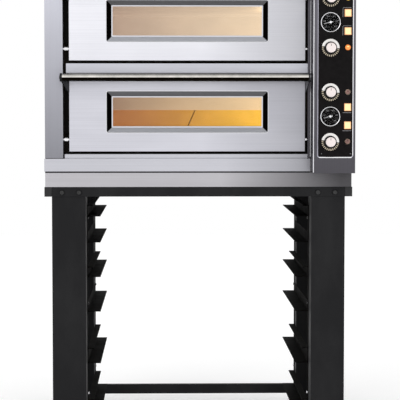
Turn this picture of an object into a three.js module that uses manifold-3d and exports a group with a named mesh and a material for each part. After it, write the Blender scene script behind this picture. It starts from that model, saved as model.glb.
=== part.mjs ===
// Twin-deck electric pizza oven on an open steel stand with tray runners.
// Units are millimetres. X points right, Y points to the rear and Z points up.
// Inside this file y = 0 is the front plane of the casing and z = 0 is the floor; the exported
// group is shifted in Y so that its origin is the bottom centre of the whole object.

import * as THREE from 'three';
import { mergeVertices } from 'three/addons/utils/BufferGeometryUtils.js';
import Module from 'manifold-3d';

const wasm = await Module();
wasm.setup();

// ---------------------------------------------------------------- driving dimensions

const seat = 0.3; // gap between two pieces that touch
const cutMargin = 1; // how far a cutting tool runs past the face it cuts
const mergeTolerance = 0.002; // edges inside a flat face that are merged away

// Whole object
const bodyWidth = 1126;
const bodyDepth = 870;
const standHeight = 950;
const standDepth = 780;

// Sheet thicknesses
const caseSheet = 1.5;
const standSheet = 2.5;

// Stand
const beamHeight = 35;
const beamFlange = 40;
const sideBeamWidth = 26.5;
const legWidth = 123;
const legDepth = 120;
const footPlate = 4;
const crossbarBottom = 51;
const crossbarHeight = 38;
const crossbarDepth = 24;

// Tray racks. Each runner has a ledge that a tray slides on and a web behind it; some also have
// a short lip above, which stops the tray below the next runner from tipping.
const rackFront = 100;
const rackRear = 750;
const strapWidth = 18;
const ledgeDepth = 49;
const lipDepth = 23;
const plainWebHeight = 35;
const lowestRunner = 94;
const topRunnerDrop = 112; // from the top of the stand to the highest ledge
const runnerSteps = 11.5; // pitches between the lowest and the highest ledge
const runners = [
  { step: 0, lipRise: 54 },
  { step: 3, lipRise: 54 },
  { step: 6, lipRise: 0 },
  { step: 8, lipRise: 35 },
  { step: 10, lipRise: 0 },
  { step: runnerSteps, lipRise: 39 },
];

// Base of the oven
const plinthHeight = 53;
const plinthInset = 3;
const seamHeight = 3;
const basePanelHeight = 47.5;
const stripSlot = 4;
const stripSlotDepth = 8;
const stripHeight = 12.5;

// Casing, from left to right
const casingInset = 3;
const leftColumnWidth = 66;
const leftDoorGap = 23;
const rightDoorGap = 9.5;
const jambWidth = 12;
const jambGap = 1;
const columnWidth = 152;
const columnReach = 85; // the control column stands this far in front of the casing
const returnDepth = 90;
const topFasciaHeight = 54;

// Doors
const doorHeight = 276;
const doorThickness = 45;
const doorProud = 6;
const doorGapAbove = 10;
const dividerHeight = 34;
const dividerLeftGap = 12;
const swingClearance = 1.8;
const sealGap = 2.5;
const hingeAboveBottom = 43.5;
const hingeFromRear = 17;
const sillClearance = 3;

// Hinge pins
const pinRadius = 5;
const pinClearance = 0.5;
const leftCollarRadius = 8;
const leftCollarLength = 12;
const rightCollarRadius = 6;
const rightCollarLength = 5;
const pinReachIntoDoor = 16;
const pinReachIntoCasing = 5;

// Window
const windowWidth = 589;
const windowHeight = 151.5;
const windowRise = 6; // centre of the window above the centre of the door
const windowCorner = 8;
const bezelSlope = 17; // run of the sloped face from its rim to the glass stop
const bezelDepth = 14;
const glassStop = 4;
const glassThickness = 4;

// Handle
const handleRadius = 14;
const handleWall = 2;
const handleReach = 65; // centre of the tube in front of the door face
const handleDrop = 8; // centre of the tube below the top of the door
const handleOverhang = 23; // tube end beyond the left edge of the door
const handleRightOverhang = 8;
const bossRadius = 15;
const bossThickness = 6;
const spigotLength = 10;
const bracketSheet = 3;
const bracketRootHeight = 57;
const bracketRootDrop = 6;
const bracketTabDepth = 30;
const bracketTipHeight = 24;

// Baking chamber
const chamberWidth = 720;
const rearInsulation = 97; // from the rear wall inside a chamber to the back of the casing
const chamberHeight = 140; // clear height above the hearth
const hearthThickness = 16;
const hearthGap = 2; // joint between the two hearth stones
const heaterRadius = 4;
const heaterRuns = 6;
const heaterPitch = 100;
const heaterDrop = 14;
const heaterFrontGap = 80; // from the chamber's front to where the runs begin
const heaterRearGap = 36; // from the rear bends to the chamber's rear wall
const heaterHolderSheet = 2;

// Control panel
const fasciaLeftMargin = 17.5;
const fasciaRightMargin = 11;
const fasciaInset = 0.5;
const fasciaSheet = 2;
const fasciaCorner = 8;
const fasciaBelowGauge = 145;
const fasciaAboveGauge = 146;
const controlRise = 128; // centre of the thermometer above the bottom of its door
const controlPitchExtra = 7.6; // the controls of the two decks are a little further apart
const knobFromLeft = 61;
const lampFromLeft = 123.5;
const upperKnobRise = 87;
const lowerKnobDrop = 91.5;
const upperLampRise = 88;
const lowerLampDrop = 90;
const upperRockerRise = 33;
const lowerRockerDrop = 32;

const knobSkirtRadius = 32;
const knobSkirtHeight = 5;
const knobCollarRadius = 22;
const knobCollarHeight = 12;
const knobCapRadius = 17.5;
const knobCapHeight = 28;
const knobShaftRadius = 3;
const knobShaftLength = 20;
const knobShaftClearance = 1;
const knobStandOff = 0.5;

const gaugeRadius = 33;
const gaugeRimRadius = 37;
const gaugeRimHeight = 6;
const gaugeRimWidth = 4;
const gaugeDialHeight = 1;
const gaugeBodyDepth = 32;
const needleReach = 25;
const needleTail = 9;
const needleWidth = 2.4;
const needleThickness = 1;
const needleHubRadius = 4;
const needleStandOff = 0.6;
const needleRestAngle = 193; // from +X, anticlockwise, as seen from the front

const lampRadius = 9.75;
const lampStemRadius = 7.5;
const lampStemLength = 24;
const lampRimHeight = 3;
const lampHeight = 7;

const rockerWidth = 24;
const rockerHeight = 26.5;
const rockerSideClearance = 0.5;
const rockerEndClearance = 1.6;
const rockerProud = 4;
const rockerCrown = 1.5;
const rockerDepth = 12;
const rockerTilt = 8; // degrees from level to each end of its travel

// Facet counts
const pinFacets = 16;
const handleFacets = 24;
const knobFacets = 24;
const lampFacets = 16;
const rodFacets = 8;
const cornerFacets = 4;
const bendSteps = 6;

// ---------------------------------------------------------------- derived layout

const halfWidth = bodyWidth / 2;

// Left to right
const leftCaseX = -halfWidth + casingInset;
const leftColumnX = leftCaseX + leftColumnWidth;
const doorLeftX = leftColumnX + leftDoorGap;
const columnX = halfWidth - columnWidth;
const jambRightX = columnX - jambGap;
const jambLeftX = jambRightX - jambWidth;
const doorRightX = jambLeftX - rightDoorGap;
const doorCentreX = (doorLeftX + doorRightX) / 2;

// Front to rear
const doorFrontY = -doorProud;
const doorRearY = doorFrontY + doorThickness;
const hingeY = doorRearY - hingeFromRear;
const swingRadius = Math.hypot(doorThickness - hingeFromRear, hingeAboveBottom);
const recessBackY = hingeY + swingRadius + swingClearance;
const flangeY = doorRearY + sealGap;
const chamberFrontY = flangeY + caseSheet;
const chamberRearY = bodyDepth - rearInsulation;
const heaterFrontY = chamberFrontY + heaterFrontGap;
const heaterRearY = chamberRearY - heaterRearGap - heaterRadius - heaterPitch / 2;
const columnFrontY = -columnReach;
const fasciaY = columnFrontY + fasciaInset;
const knobFrontY = fasciaY - knobStandOff - knobCapHeight;
const handleY = doorFrontY - handleReach;
const objectFrontY = Math.min(knobFrontY, handleY - bossRadius);
const objectRearY = Math.max(bodyDepth, standDepth);

// Bottom to top
const plinthTop = standHeight + plinthHeight;
const basePanelTop = plinthTop + seamHeight + basePanelHeight;
const stripTop = basePanelTop + stripSlot + stripHeight;
const doorGapBelow = swingRadius - hingeAboveBottom + swingClearance;
const lowerDoorBottom = stripTop + doorGapBelow;
const deckPitch = doorHeight + doorGapAbove + dividerHeight + doorGapBelow;
const upperDoorBottom = lowerDoorBottom + deckPitch;
const topFasciaBottom = upperDoorBottom + doorHeight + doorGapAbove;
const ovenTop = topFasciaBottom + topFasciaHeight;
const casingBottom = basePanelTop + 2;

// Heights above the bottom of a door
const sillHeight = hingeAboveBottom + hingeFromRear + sillClearance + caseSheet;
const hearthBottom = sillHeight + caseSheet + seat;
const hearthTop = hearthBottom + hearthThickness;
const ceilingHeight = hearthTop + chamberHeight;
const handleHeight = doorHeight - handleDrop;
const windowCentreHeight = doorHeight / 2 + windowRise;

// ---------------------------------------------------------------- finishes

const finishes = {
  brushedSteel: { color: 0xdcdce2, roughness: 0.38, metalness: 1.0 },
  darkSteel: { color: 0x55545a, roughness: 0.42, metalness: 1.0 },
  plinthSteel: { color: 0xaeaab0, roughness: 0.4, metalness: 1.0 },
  innerSteel: { color: 0xb9ad98, roughness: 0.45, metalness: 1.0 },
  polishedSteel: { color: 0xe8e8ea, roughness: 0.12, metalness: 1.0 },
  blackPaint: { color: 0x2b2b2d, roughness: 0.55, metalness: 0.1 },
  blackPanel: { color: 0x0b0b0c, roughness: 0.25, metalness: 0.0 },
  blackDial: { color: 0x101012, roughness: 0.35, metalness: 0.1 },
  satinSteel: { color: 0xe1d4cf, roughness: 0.3, metalness: 1.0 },
  whiteNeedle: { color: 0xf4f4f4, roughness: 0.4, metalness: 0.0 },
  stone: { color: 0xc58a55, roughness: 0.9, metalness: 0.0 },
  heater: { color: 0x6d6a68, roughness: 0.5, metalness: 0.8 },
  glass: { color: 0xf2efe8, roughness: 0.05, metalness: 0.0 },
  litSwitch: { color: 0xfff2b8, roughness: 0.3, metalness: 0.0 },
  amberLens: { color: 0xff8c2e, roughness: 0.2, metalness: 0.0 },
};

// ---------------------------------------------------------------- solids

// A closed geometry as a solid that can be joined and cut.
function solidFrom(geometry) {
  geometry.deleteAttribute('normal');
  geometry.deleteAttribute('uv');
  const merged = mergeVertices(geometry, 1e-4);
  const mesh = new wasm.Mesh({
    numProp: 3,
    vertProperties: Float32Array.from(merged.attributes.position.array),
    triVerts: Uint32Array.from(merged.index.array),
  });
  return new wasm.Manifold(mesh);
}

// A solid as a geometry that a mesh can show, with the seams inside its flat faces merged away.
function geometryFrom(solid) {
  const mesh = solid.asOriginal().simplify(mergeTolerance).getMesh();
  const geometry = new THREE.BufferGeometry();
  geometry.setAttribute('position', new THREE.BufferAttribute(Float32Array.from(mesh.vertProperties), 3));
  geometry.setIndex(new THREE.BufferAttribute(Uint32Array.from(mesh.triVerts), 1));
  geometry.computeVertexNormals();
  return geometry;
}

// A box between exact planes, so that two boxes that share a plane meet without a sliver.
function box(x0, x1, y0, y1, z0, z1) {
  const geometry = new THREE.BoxGeometry(1, 1, 1);
  const corners = geometry.attributes.position;
  for (let i = 0; i < corners.count; i += 1) {
    const x = corners.getX(i) < 0 ? x0 : x1;
    const y = corners.getY(i) < 0 ? y0 : y1;
    const z = corners.getZ(i) < 0 ? z0 : z1;
    corners.setXYZ(i, x, y, z);
  }
  return solidFrom(geometry);
}

function joined(solids) {
  return solids.reduce((sum, solid) => sum.add(solid));
}

function cutBy(solid, tools) {
  return tools.reduce((rest, tool) => rest.subtract(tool), solid);
}

// The corner points of a rectangle in X and Z, rounded when radius is above zero.
function rectangleOutline(centreX, centreZ, width, height, radius = 0) {
  if (radius <= 0) {
    return [
      [centreX - width / 2, centreZ - height / 2],
      [centreX + width / 2, centreZ - height / 2],
      [centreX + width / 2, centreZ + height / 2],
      [centreX - width / 2, centreZ + height / 2],
    ];
  }
  const points = [];
  const corners = [[1, -1, -90], [1, 1, 0], [-1, 1, 90], [-1, -1, 180]];
  for (const [signX, signZ, startDegrees] of corners) {
    for (let i = 0; i <= cornerFacets; i += 1) {
      const angle = THREE.MathUtils.degToRad(startDegrees + (90 * i) / cornerFacets);
      points.push([
        centreX + signX * (width / 2 - radius) + radius * Math.cos(angle),
        centreZ + signZ * (height / 2 - radius) + radius * Math.sin(angle),
      ]);
    }
  }
  return points;
}

// A straight loft between two convex outlines in X and Z, the first at y0 and the second at y1.
function loft(frontOutline, y0, rearOutline, y1) {
  const count = frontOutline.length;
  const positions = [];
  for (const [x, z] of frontOutline) positions.push(x, y0, z);
  for (const [x, z] of rearOutline) positions.push(x, y1, z);
  const index = [];
  for (let i = 1; i < count - 1; i += 1) {
    index.push(0, i, i + 1);
    index.push(count, count + i + 1, count + i);
  }
  for (let i = 0; i < count; i += 1) {
    const next = (i + 1) % count;
    index.push(i, count + i, count + next);
    index.push(i, count + next, next);
  }
  const geometry = new THREE.BufferGeometry();
  geometry.setAttribute('position', new THREE.BufferAttribute(new Float32Array(positions), 3));
  geometry.setIndex(index);
  return solidFrom(geometry);
}

// A turned solid. The profile runs from the axis to the axis as [radius, height] pairs with the
// height rising; the height is measured along the direction, from the centre point.
function turned(profile, facets, centre, direction) {
  const points = profile.map(([radius, height]) => new THREE.Vector2(radius, height));
  const geometry = new THREE.LatheGeometry(points, facets);
  const axis = new THREE.Vector3(...direction).normalize();
  const turn = new THREE.Quaternion().setFromUnitVectors(new THREE.Vector3(0, 1, 0), axis);
  geometry.applyQuaternion(turn);
  geometry.translate(...centre);
  return solidFrom(geometry);
}

function rod(radius, length, facets, centre, direction) {
  const profile = [[0, 0], [radius, 0], [radius, length], [0, length]];
  return turned(profile, facets, centre, direction);
}

function addPiece(parent, name, solid, finish) {
  const material = new THREE.MeshStandardMaterial(finishes[finish]);
  const mesh = new THREE.Mesh(geometryFrom(solid), material);
  mesh.name = name;
  parent.add(mesh);
}

// ---------------------------------------------------------------- stand

const legOuterX = halfWidth - sideBeamWidth - seat;
const legInnerX = legOuterX - legWidth;
const legTop = standHeight - standSheet - seat;

// A folded channel leg on a welded foot plate. The web faces out and the two flanges run towards
// the middle of the stand.
function legSolid(side, webY, inward) {
  const x0 = side < 0 ? -legOuterX : legInnerX;
  const x1 = x0 + legWidth;
  const tipY = webY + inward * legDepth;
  const outerY = Math.min(webY, tipY);
  const outer = box(x0, x1, outerY, outerY + legDepth, 0, legTop);
  const coreFrontY = inward > 0 ? outerY + standSheet : outerY - cutMargin;
  const coreRearY = coreFrontY + legDepth - standSheet + cutMargin;
  const core = box(x0 + standSheet, x1 - standSheet, coreFrontY, coreRearY, footPlate, legTop + cutMargin);
  return cutBy(outer, [core]);
}

// An angle whose web stands in the outer face of the stand and whose flange covers the legs.
function crossBeamSolid(webY, inward) {
  const beamX = legOuterX;
  const webFrontY = inward > 0 ? webY : webY - standSheet;
  const flangeFrontY = inward > 0 ? webY : webY - beamFlange;
  const web = box(-beamX, beamX, webFrontY, webFrontY + standSheet, standHeight - beamHeight, standHeight);
  const flange = box(
    -beamX, beamX, flangeFrontY, flangeFrontY + beamFlange, standHeight - standSheet, standHeight,
  );
  return joined([web, flange]);
}

// A square tube along the side, closed at the front and open at the rear.
function sideBeamSolid(side) {
  const x0 = side < 0 ? -halfWidth : halfWidth - sideBeamWidth;
  const x1 = x0 + sideBeamWidth;
  const z0 = standHeight - beamHeight;
  const tube = box(x0, x1, 0, standDepth, z0, standHeight);
  const bore = box(
    x0 + standSheet, x1 - standSheet, standSheet, standDepth + cutMargin,
    z0 + standSheet, standHeight - standSheet,
  );
  return cutBy(tube, [bore]);
}

function lowerCrossbarSolid() {
  const endX = legInnerX - seat;
  const rearY = standDepth - standSheet - seat;
  const frontY = rearY - crossbarDepth;
  const top = crossbarBottom + crossbarHeight;
  const bar = box(-endX, endX, frontY, rearY, crossbarBottom, top);
  const channel = box(
    -endX - cutMargin, endX + cutMargin, frontY + standSheet, rearY + cutMargin,
    crossbarBottom + standSheet, top - standSheet,
  );
  return cutBy(bar, [channel]);
}

// A box measured inwards from the face of the leg that a rack is fixed to.
function rackBox(side, near, far, y0, y1, z0, z1) {
  const wallX = legInnerX - seat;
  const xNear = side * (wallX - near);
  const xFar = side * (wallX - far);
  return box(Math.min(xNear, xFar), Math.max(xNear, xFar), y0, y1, z0, z1);
}

// One welded rack: two upright straps and the runners across them.
function trayRackSolid(side) {
  const pitch = (standHeight - lowestRunner - topRunnerDrop) / runnerSteps;
  const parts = [];
  let strapTop = 0;
  for (const { step, lipRise } of runners) {
    const ledge = lowestRunner + step * pitch;
    const webTop = ledge + (lipRise || plainWebHeight);
    parts.push(rackBox(side, 0, ledgeDepth, rackFront, rackRear, ledge - standSheet, ledge));
    parts.push(rackBox(side, 0, standSheet, rackFront, rackRear, ledge - standSheet, webTop));
    if (lipRise > 0) {
      parts.push(rackBox(side, 0, lipDepth, rackFront, rackRear, webTop - standSheet, webTop));
    }
    strapTop = Math.max(strapTop, webTop);
  }
  const strapBottom = lowestRunner - standSheet;
  for (const strapY of [rackFront, rackRear - strapWidth]) {
    parts.push(rackBox(side, 0, standSheet, strapY, strapY + strapWidth, strapBottom, strapTop));
  }
  return joined(parts);
}

function buildStand() {
  const stand = new THREE.Group();
  const frontWebY = standSheet + seat;
  const rearWebY = standDepth - standSheet - seat;
  for (const [sideName, side] of [['left', -1], ['right', 1]]) {
    addPiece(stand, `stand_leg_front_${sideName}`, legSolid(side, frontWebY, 1), 'blackPaint');
    addPiece(stand, `stand_leg_rear_${sideName}`, legSolid(side, rearWebY, -1), 'blackPaint');
    addPiece(stand, `stand_beam_${sideName}`, sideBeamSolid(side), 'blackPaint');
    addPiece(stand, `tray_rack_${sideName}`, trayRackSolid(side), 'blackPaint');
  }
  addPiece(stand, 'stand_beam_front', crossBeamSolid(0, 1), 'blackPaint');
  addPiece(stand, 'stand_beam_rear', crossBeamSolid(standDepth, -1), 'blackPaint');
  addPiece(stand, 'stand_lower_crossbar', lowerCrossbarSolid(), 'blackPaint');
  return stand;
}

// ---------------------------------------------------------------- casing

// An upside-down tray that carries the whole oven.
function plinthSolid() {
  const sideX = halfWidth - plinthInset;
  const z0 = standHeight + seat;
  const outer = box(-sideX, sideX, 0, bodyDepth, z0, plinthTop);
  const hollow = box(
    -sideX + caseSheet, sideX - caseSheet, caseSheet, bodyDepth - caseSheet,
    z0 - cutMargin, plinthTop - caseSheet,
  );
  return cutBy(outer, [hollow]);
}

// The front panel under the lower door, with the folded strip along its top edge.
function basePanelSolid() {
  const right = jambRightX - jambGap;
  const panelBottom = plinthTop + seamHeight;
  const stripBottom = basePanelTop + stripSlot;
  const stripRear = recessBackY - seat;
  const stripLeft = leftColumnX + dividerLeftGap / 2;
  const stripRight = jambLeftX - seat;
  const footDepth = stripSlotDepth + caseSheet;
  return joined([
    box(-halfWidth, right, 0, caseSheet, panelBottom, basePanelTop),
    box(-halfWidth, right, 0, footDepth, panelBottom, panelBottom + caseSheet),
    box(leftCaseX, right, stripSlotDepth, footDepth, plinthTop + seat, panelBottom + caseSheet),
    box(-halfWidth, right, 0, footDepth, basePanelTop - caseSheet, basePanelTop),
    box(stripLeft, stripRight, stripSlotDepth, footDepth, basePanelTop - caseSheet, stripBottom + caseSheet),
    box(stripLeft, stripRight, 0, footDepth, stripBottom, stripBottom + caseSheet),
    box(stripLeft, stripRight, 0, caseSheet, stripBottom, stripTop),
    box(stripLeft, stripRight, 0, stripRear, stripTop - caseSheet, stripTop),
  ]);
}

// A tool for the clearance hole of a hinge pin in a wall between x0 and x1.
function pinHole(x0, x1, doorBottom, radius) {
  const centre = [x0 - cutMargin, hingeY, doorBottom + hingeAboveBottom];
  return rod(radius, x1 - x0 + 2 * cutMargin, pinFacets, centre, [1, 0, 0]);
}

// The left side of the oven: the side panel, the front column and its return beside the doors.
function leftCasingSolid() {
  const top = ovenTop - caseSheet - seat;
  const sideFrontY = stripSlotDepth + caseSheet + seat;
  const shell = joined([
    box(leftCaseX, leftCaseX + caseSheet, 0, bodyDepth - caseSheet - seat, casingBottom, top),
    box(leftCaseX, leftCaseX + caseSheet, sideFrontY, bodyDepth - caseSheet - seat, plinthTop + seat, top),
    box(leftCaseX, leftColumnX, 0, caseSheet, casingBottom, top),
    box(leftColumnX - caseSheet, leftColumnX, 0, returnDepth, casingBottom, top),
  ]);
  const holes = [lowerDoorBottom, upperDoorBottom].map((doorBottom) => (
    pinHole(leftColumnX - caseSheet, leftColumnX, doorBottom, pinRadius + pinClearance)
  ));
  return cutBy(shell, holes);
}

// The wall between the chambers and the control compartment, with the narrow jamb at its front.
function rightCasingSolid() {
  const top = ovenTop - caseSheet - seat;
  const shell = joined([
    box(jambLeftX, jambLeftX + caseSheet, 0, bodyDepth - caseSheet - seat, casingBottom, top),
    box(jambLeftX, jambRightX, 0, caseSheet, casingBottom, top),
  ]);
  const holes = [lowerDoorBottom, upperDoorBottom].map((doorBottom) => (
    pinHole(jambLeftX, jambLeftX + caseSheet, doorBottom, pinRadius + pinClearance)
  ));
  return cutBy(shell, holes);
}

function backCoverSolid() {
  const y0 = bodyDepth - caseSheet;
  const right = halfWidth - caseSheet - seat;
  return box(leftCaseX, right, y0, bodyDepth, plinthTop + seat, ovenTop - caseSheet - seat);
}

// The lid of the oven, folded down at the front into the fascia above the upper door.
function topCoverSolid() {
  const left = leftColumnX + seat;
  const right = jambLeftX - seat;
  return joined([
    box(leftCaseX, jambRightX, 0, bodyDepth, ovenTop - caseSheet, ovenTop),
    box(left, right, 0, caseSheet, topFasciaBottom, ovenTop),
    box(left, right, 0, flangeY - seat, topFasciaBottom, topFasciaBottom + caseSheet),
  ]);
}

// The strip between the two doors, a channel that is open at the rear.
function deckDividerSolid() {
  const z1 = upperDoorBottom - doorGapBelow;
  const z0 = z1 - dividerHeight;
  const left = leftColumnX + dividerLeftGap;
  const right = jambLeftX - seat;
  return joined([
    box(left, right, 0, caseSheet, z0, z1),
    box(left, right, 0, recessBackY - seat, z1 - caseSheet, z1),
    box(left, right, 0, flangeY - seat, z0, z0 + caseSheet),
  ]);
}

// ---------------------------------------------------------------- control column

const fasciaX0 = columnX + fasciaLeftMargin;
const fasciaX1 = halfWidth - fasciaRightMargin;
const controlPitch = deckPitch + controlPitchExtra;
const lowerGaugeZ = lowerDoorBottom + controlRise;
const upperGaugeZ = lowerGaugeZ + controlPitch;
const fasciaZ0 = lowerGaugeZ - fasciaBelowGauge;
const fasciaZ1 = upperGaugeZ + fasciaAboveGauge;
const knobX = columnX + knobFromLeft;
const lampX = columnX + lampFromLeft;

function fasciaOutline(grow) {
  return rectangleOutline(
    (fasciaX0 + fasciaX1) / 2, (fasciaZ0 + fasciaZ1) / 2,
    fasciaX1 - fasciaX0 + 2 * grow, fasciaZ1 - fasciaZ0 + 2 * grow, fasciaCorner + grow,
  );
}

// The cover of the control compartment. Its front stands proud of the casing and its right wall
// is the right side of the oven.
function controlColumnSolid() {
  const z0 = plinthTop + seat;
  const shell = joined([
    box(columnX, halfWidth, columnFrontY, columnFrontY + caseSheet, z0, ovenTop),
    box(columnX, columnX + caseSheet, columnFrontY, returnDepth, z0, ovenTop),
    box(halfWidth - caseSheet, halfWidth, columnFrontY, bodyDepth, z0, ovenTop),
    box(columnX, halfWidth, columnFrontY, bodyDepth - caseSheet - seat, z0, z0 + caseSheet),
    box(columnX, halfWidth, columnFrontY, bodyDepth, ovenTop - caseSheet, ovenTop),
  ]);
  const windowOutline = fasciaOutline(seat);
  const window = loft(
    windowOutline, columnFrontY - cutMargin, windowOutline, columnFrontY + caseSheet + cutMargin,
  );
  return cutBy(shell, [window]);
}

function controlFasciaSolid() {
  const outline = fasciaOutline(0);
  const y1 = fasciaY + fasciaSheet;
  const plate = loft(outline, fasciaY, outline, y1);
  const holes = [];
  const drill = (x, z, radius, facets) => {
    holes.push(rod(radius, fasciaSheet + 2 * cutMargin, facets, [x, y1 + cutMargin, z], [0, -1, 0]));
  };
  for (const gaugeZ of [lowerGaugeZ, upperGaugeZ]) {
    drill(knobX, gaugeZ + upperKnobRise, knobShaftRadius + knobShaftClearance, pinFacets);
    drill(knobX, gaugeZ - lowerKnobDrop, knobShaftRadius + knobShaftClearance, pinFacets);
    drill(knobX, gaugeZ, gaugeRadius + seat, knobFacets);
    drill(lampX, gaugeZ + upperLampRise, lampStemRadius + seat, lampFacets);
    drill(lampX, gaugeZ - lowerLampDrop, lampStemRadius + seat, lampFacets);
    for (const rockerZ of [gaugeZ + upperRockerRise, gaugeZ - lowerRockerDrop]) {
      const halfX = rockerWidth / 2 + rockerSideClearance;
      const halfZ = rockerHeight / 2 + rockerEndClearance;
      holes.push(box(
        lampX - halfX, lampX + halfX, fasciaY - cutMargin, y1 + cutMargin,
        rockerZ - halfZ, rockerZ + halfZ,
      ));
    }
  }
  return cutBy(plate, holes);
}

function buildCasing() {
  const casing = new THREE.Group();
  addPiece(casing, 'plinth', plinthSolid(), 'plinthSteel');
  addPiece(casing, 'base_panel', basePanelSolid(), 'brushedSteel');
  addPiece(casing, 'left_casing', leftCasingSolid(), 'brushedSteel');
  addPiece(casing, 'right_casing', rightCasingSolid(), 'brushedSteel');
  addPiece(casing, 'back_cover', backCoverSolid(), 'brushedSteel');
  addPiece(casing, 'top_cover', topCoverSolid(), 'brushedSteel');
  addPiece(casing, 'deck_divider', deckDividerSolid(), 'brushedSteel');
  addPiece(casing, 'control_column', controlColumnSolid(), 'darkSteel');
  addPiece(casing, 'control_fascia', controlFasciaSolid(), 'blackPanel');
  return casing;
}

// ---------------------------------------------------------------- controls

// A pointer knob: a bright skirt, a dark collar and a satin cap on a short shaft.
function knobSolid() {
  const profile = [
    [0, -knobShaftLength],
    [knobShaftRadius, -knobShaftLength],
    [knobShaftRadius, 0],
    [knobSkirtRadius, 0],
    [knobSkirtRadius - 1.5, knobSkirtHeight],
    [knobCollarRadius, knobSkirtHeight],
    [knobCollarRadius - 1, knobCollarHeight],
    [knobCapRadius, knobCollarHeight],
    [knobCapRadius - 1, knobCapHeight],
    [0, knobCapHeight],
  ];
  return turned(profile, knobFacets, [0, -knobStandOff, 0], [0, -1, 0]);
}

// The housing of the thermometer: a rim in front of the fascia, a sunk dial and a body behind it.
function gaugeSolid() {
  const profile = [
    [0, -gaugeBodyDepth],
    [gaugeRadius, -gaugeBodyDepth],
    [gaugeRadius, seat],
    [gaugeRimRadius, seat],
    [gaugeRimRadius - 1, gaugeRimHeight],
    [gaugeRimRadius - gaugeRimWidth, gaugeRimHeight],
    [gaugeRimRadius - gaugeRimWidth - 1, gaugeDialHeight],
    [0, gaugeDialHeight],
  ];
  return turned(profile, knobFacets, [0, 0, 0], [0, -1, 0]);
}

// A slim pointer with a hub and a tail, drawn along +X and then turned to its rest angle.
function needleSolid() {
  const front = -gaugeDialHeight - needleStandOff - needleThickness;
  const rear = -gaugeDialHeight - needleStandOff;
  const half = needleWidth / 2;
  const blade = loft(
    [[-needleTail, -half], [needleReach, -half / 3], [needleReach, half / 3], [-needleTail, half]], front,
    [[-needleTail, -half], [needleReach, -half / 3], [needleReach, half / 3], [-needleTail, half]], rear,
  );
  const hub = rod(needleHubRadius, needleThickness + 1, lampFacets, [0, rear, 0], [0, -1, 0]);
  return joined([blade, hub]).rotate([0, -needleRestAngle, 0]);
}

function indicatorSolid() {
  const profile = [
    [0, -lampStemLength],
    [lampStemRadius, -lampStemLength],
    [lampStemRadius, seat],
    [lampRadius, seat],
    [lampRadius, lampRimHeight],
    [lampRadius - 2, lampRimHeight],
    [lampRadius - 3.5, lampHeight - 1.2],
    [lampRadius - 6.5, lampHeight],
    [0, lampHeight],
  ];
  return turned(profile, lampFacets, [0, 0, 0], [0, -1, 0]);
}

// A rocker cap that turns about X through its pivot. Its face is shallowly hollowed towards the
// middle, and it rests pressed in at its top edge.
function rockerSolid() {
  const halfX = rockerWidth / 2;
  const halfZ = rockerHeight / 2;
  const shape = new THREE.Shape([
    new THREE.Vector2(rockerDepth, -halfZ + 3),
    new THREE.Vector2(rockerDepth, halfZ - 3),
    new THREE.Vector2(0, halfZ),
    new THREE.Vector2(-rockerProud, halfZ),
    new THREE.Vector2(-rockerProud + rockerCrown, 0),
    new THREE.Vector2(-rockerProud, -halfZ),
    new THREE.Vector2(0, -halfZ),
  ]);
  const geometry = new THREE.ExtrudeGeometry(shape, { depth: rockerWidth, bevelEnabled: false });
  const basis = new THREE.Matrix4().makeBasis(
    new THREE.Vector3(0, 1, 0), new THREE.Vector3(0, 0, 1), new THREE.Vector3(1, 0, 0),
  );
  geometry.applyMatrix4(basis);
  geometry.translate(-halfX, 0, 0);
  return solidFrom(geometry).rotate([-rockerTilt, 0, 0]);
}

function placedGroup(parent, x, y, z) {
  const group = new THREE.Group();
  group.position.set(x, y, z);
  parent.add(group);
  return group;
}

function buildControls(deckName, gaugeZ) {
  const controls = new THREE.Group();
  const upperKnob = placedGroup(controls, knobX, fasciaY, gaugeZ + upperKnobRise);
  addPiece(upperKnob, `${deckName}_top_heat_knob`, knobSolid(), 'satinSteel');
  const lowerKnob = placedGroup(controls, knobX, fasciaY, gaugeZ - lowerKnobDrop);
  addPiece(lowerKnob, `${deckName}_bottom_heat_knob`, knobSolid(), 'satinSteel');
  const gauge = placedGroup(controls, knobX, fasciaY, gaugeZ);
  addPiece(gauge, `${deckName}_gauge_body`, gaugeSolid(), 'blackDial');
  addPiece(gauge, `${deckName}_gauge_needle`, needleSolid(), 'whiteNeedle');
  const upperLamp = placedGroup(controls, lampX, fasciaY, gaugeZ + upperLampRise);
  addPiece(upperLamp, `${deckName}_top_heat_lamp`, indicatorSolid(), 'amberLens');
  const lowerLamp = placedGroup(controls, lampX, fasciaY, gaugeZ - lowerLampDrop);
  addPiece(lowerLamp, `${deckName}_bottom_heat_lamp`, indicatorSolid(), 'amberLens');
  const power = placedGroup(controls, lampX, fasciaY, gaugeZ + upperRockerRise);
  addPiece(power, `${deckName}_power_rocker`, rockerSolid(), 'litSwitch');
  const light = placedGroup(controls, lampX, fasciaY, gaugeZ - lowerRockerDrop);
  addPiece(light, `${deckName}_light_rocker`, rockerSolid(), 'litSwitch');
  return controls;
}

// ---------------------------------------------------------------- baking chamber

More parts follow.
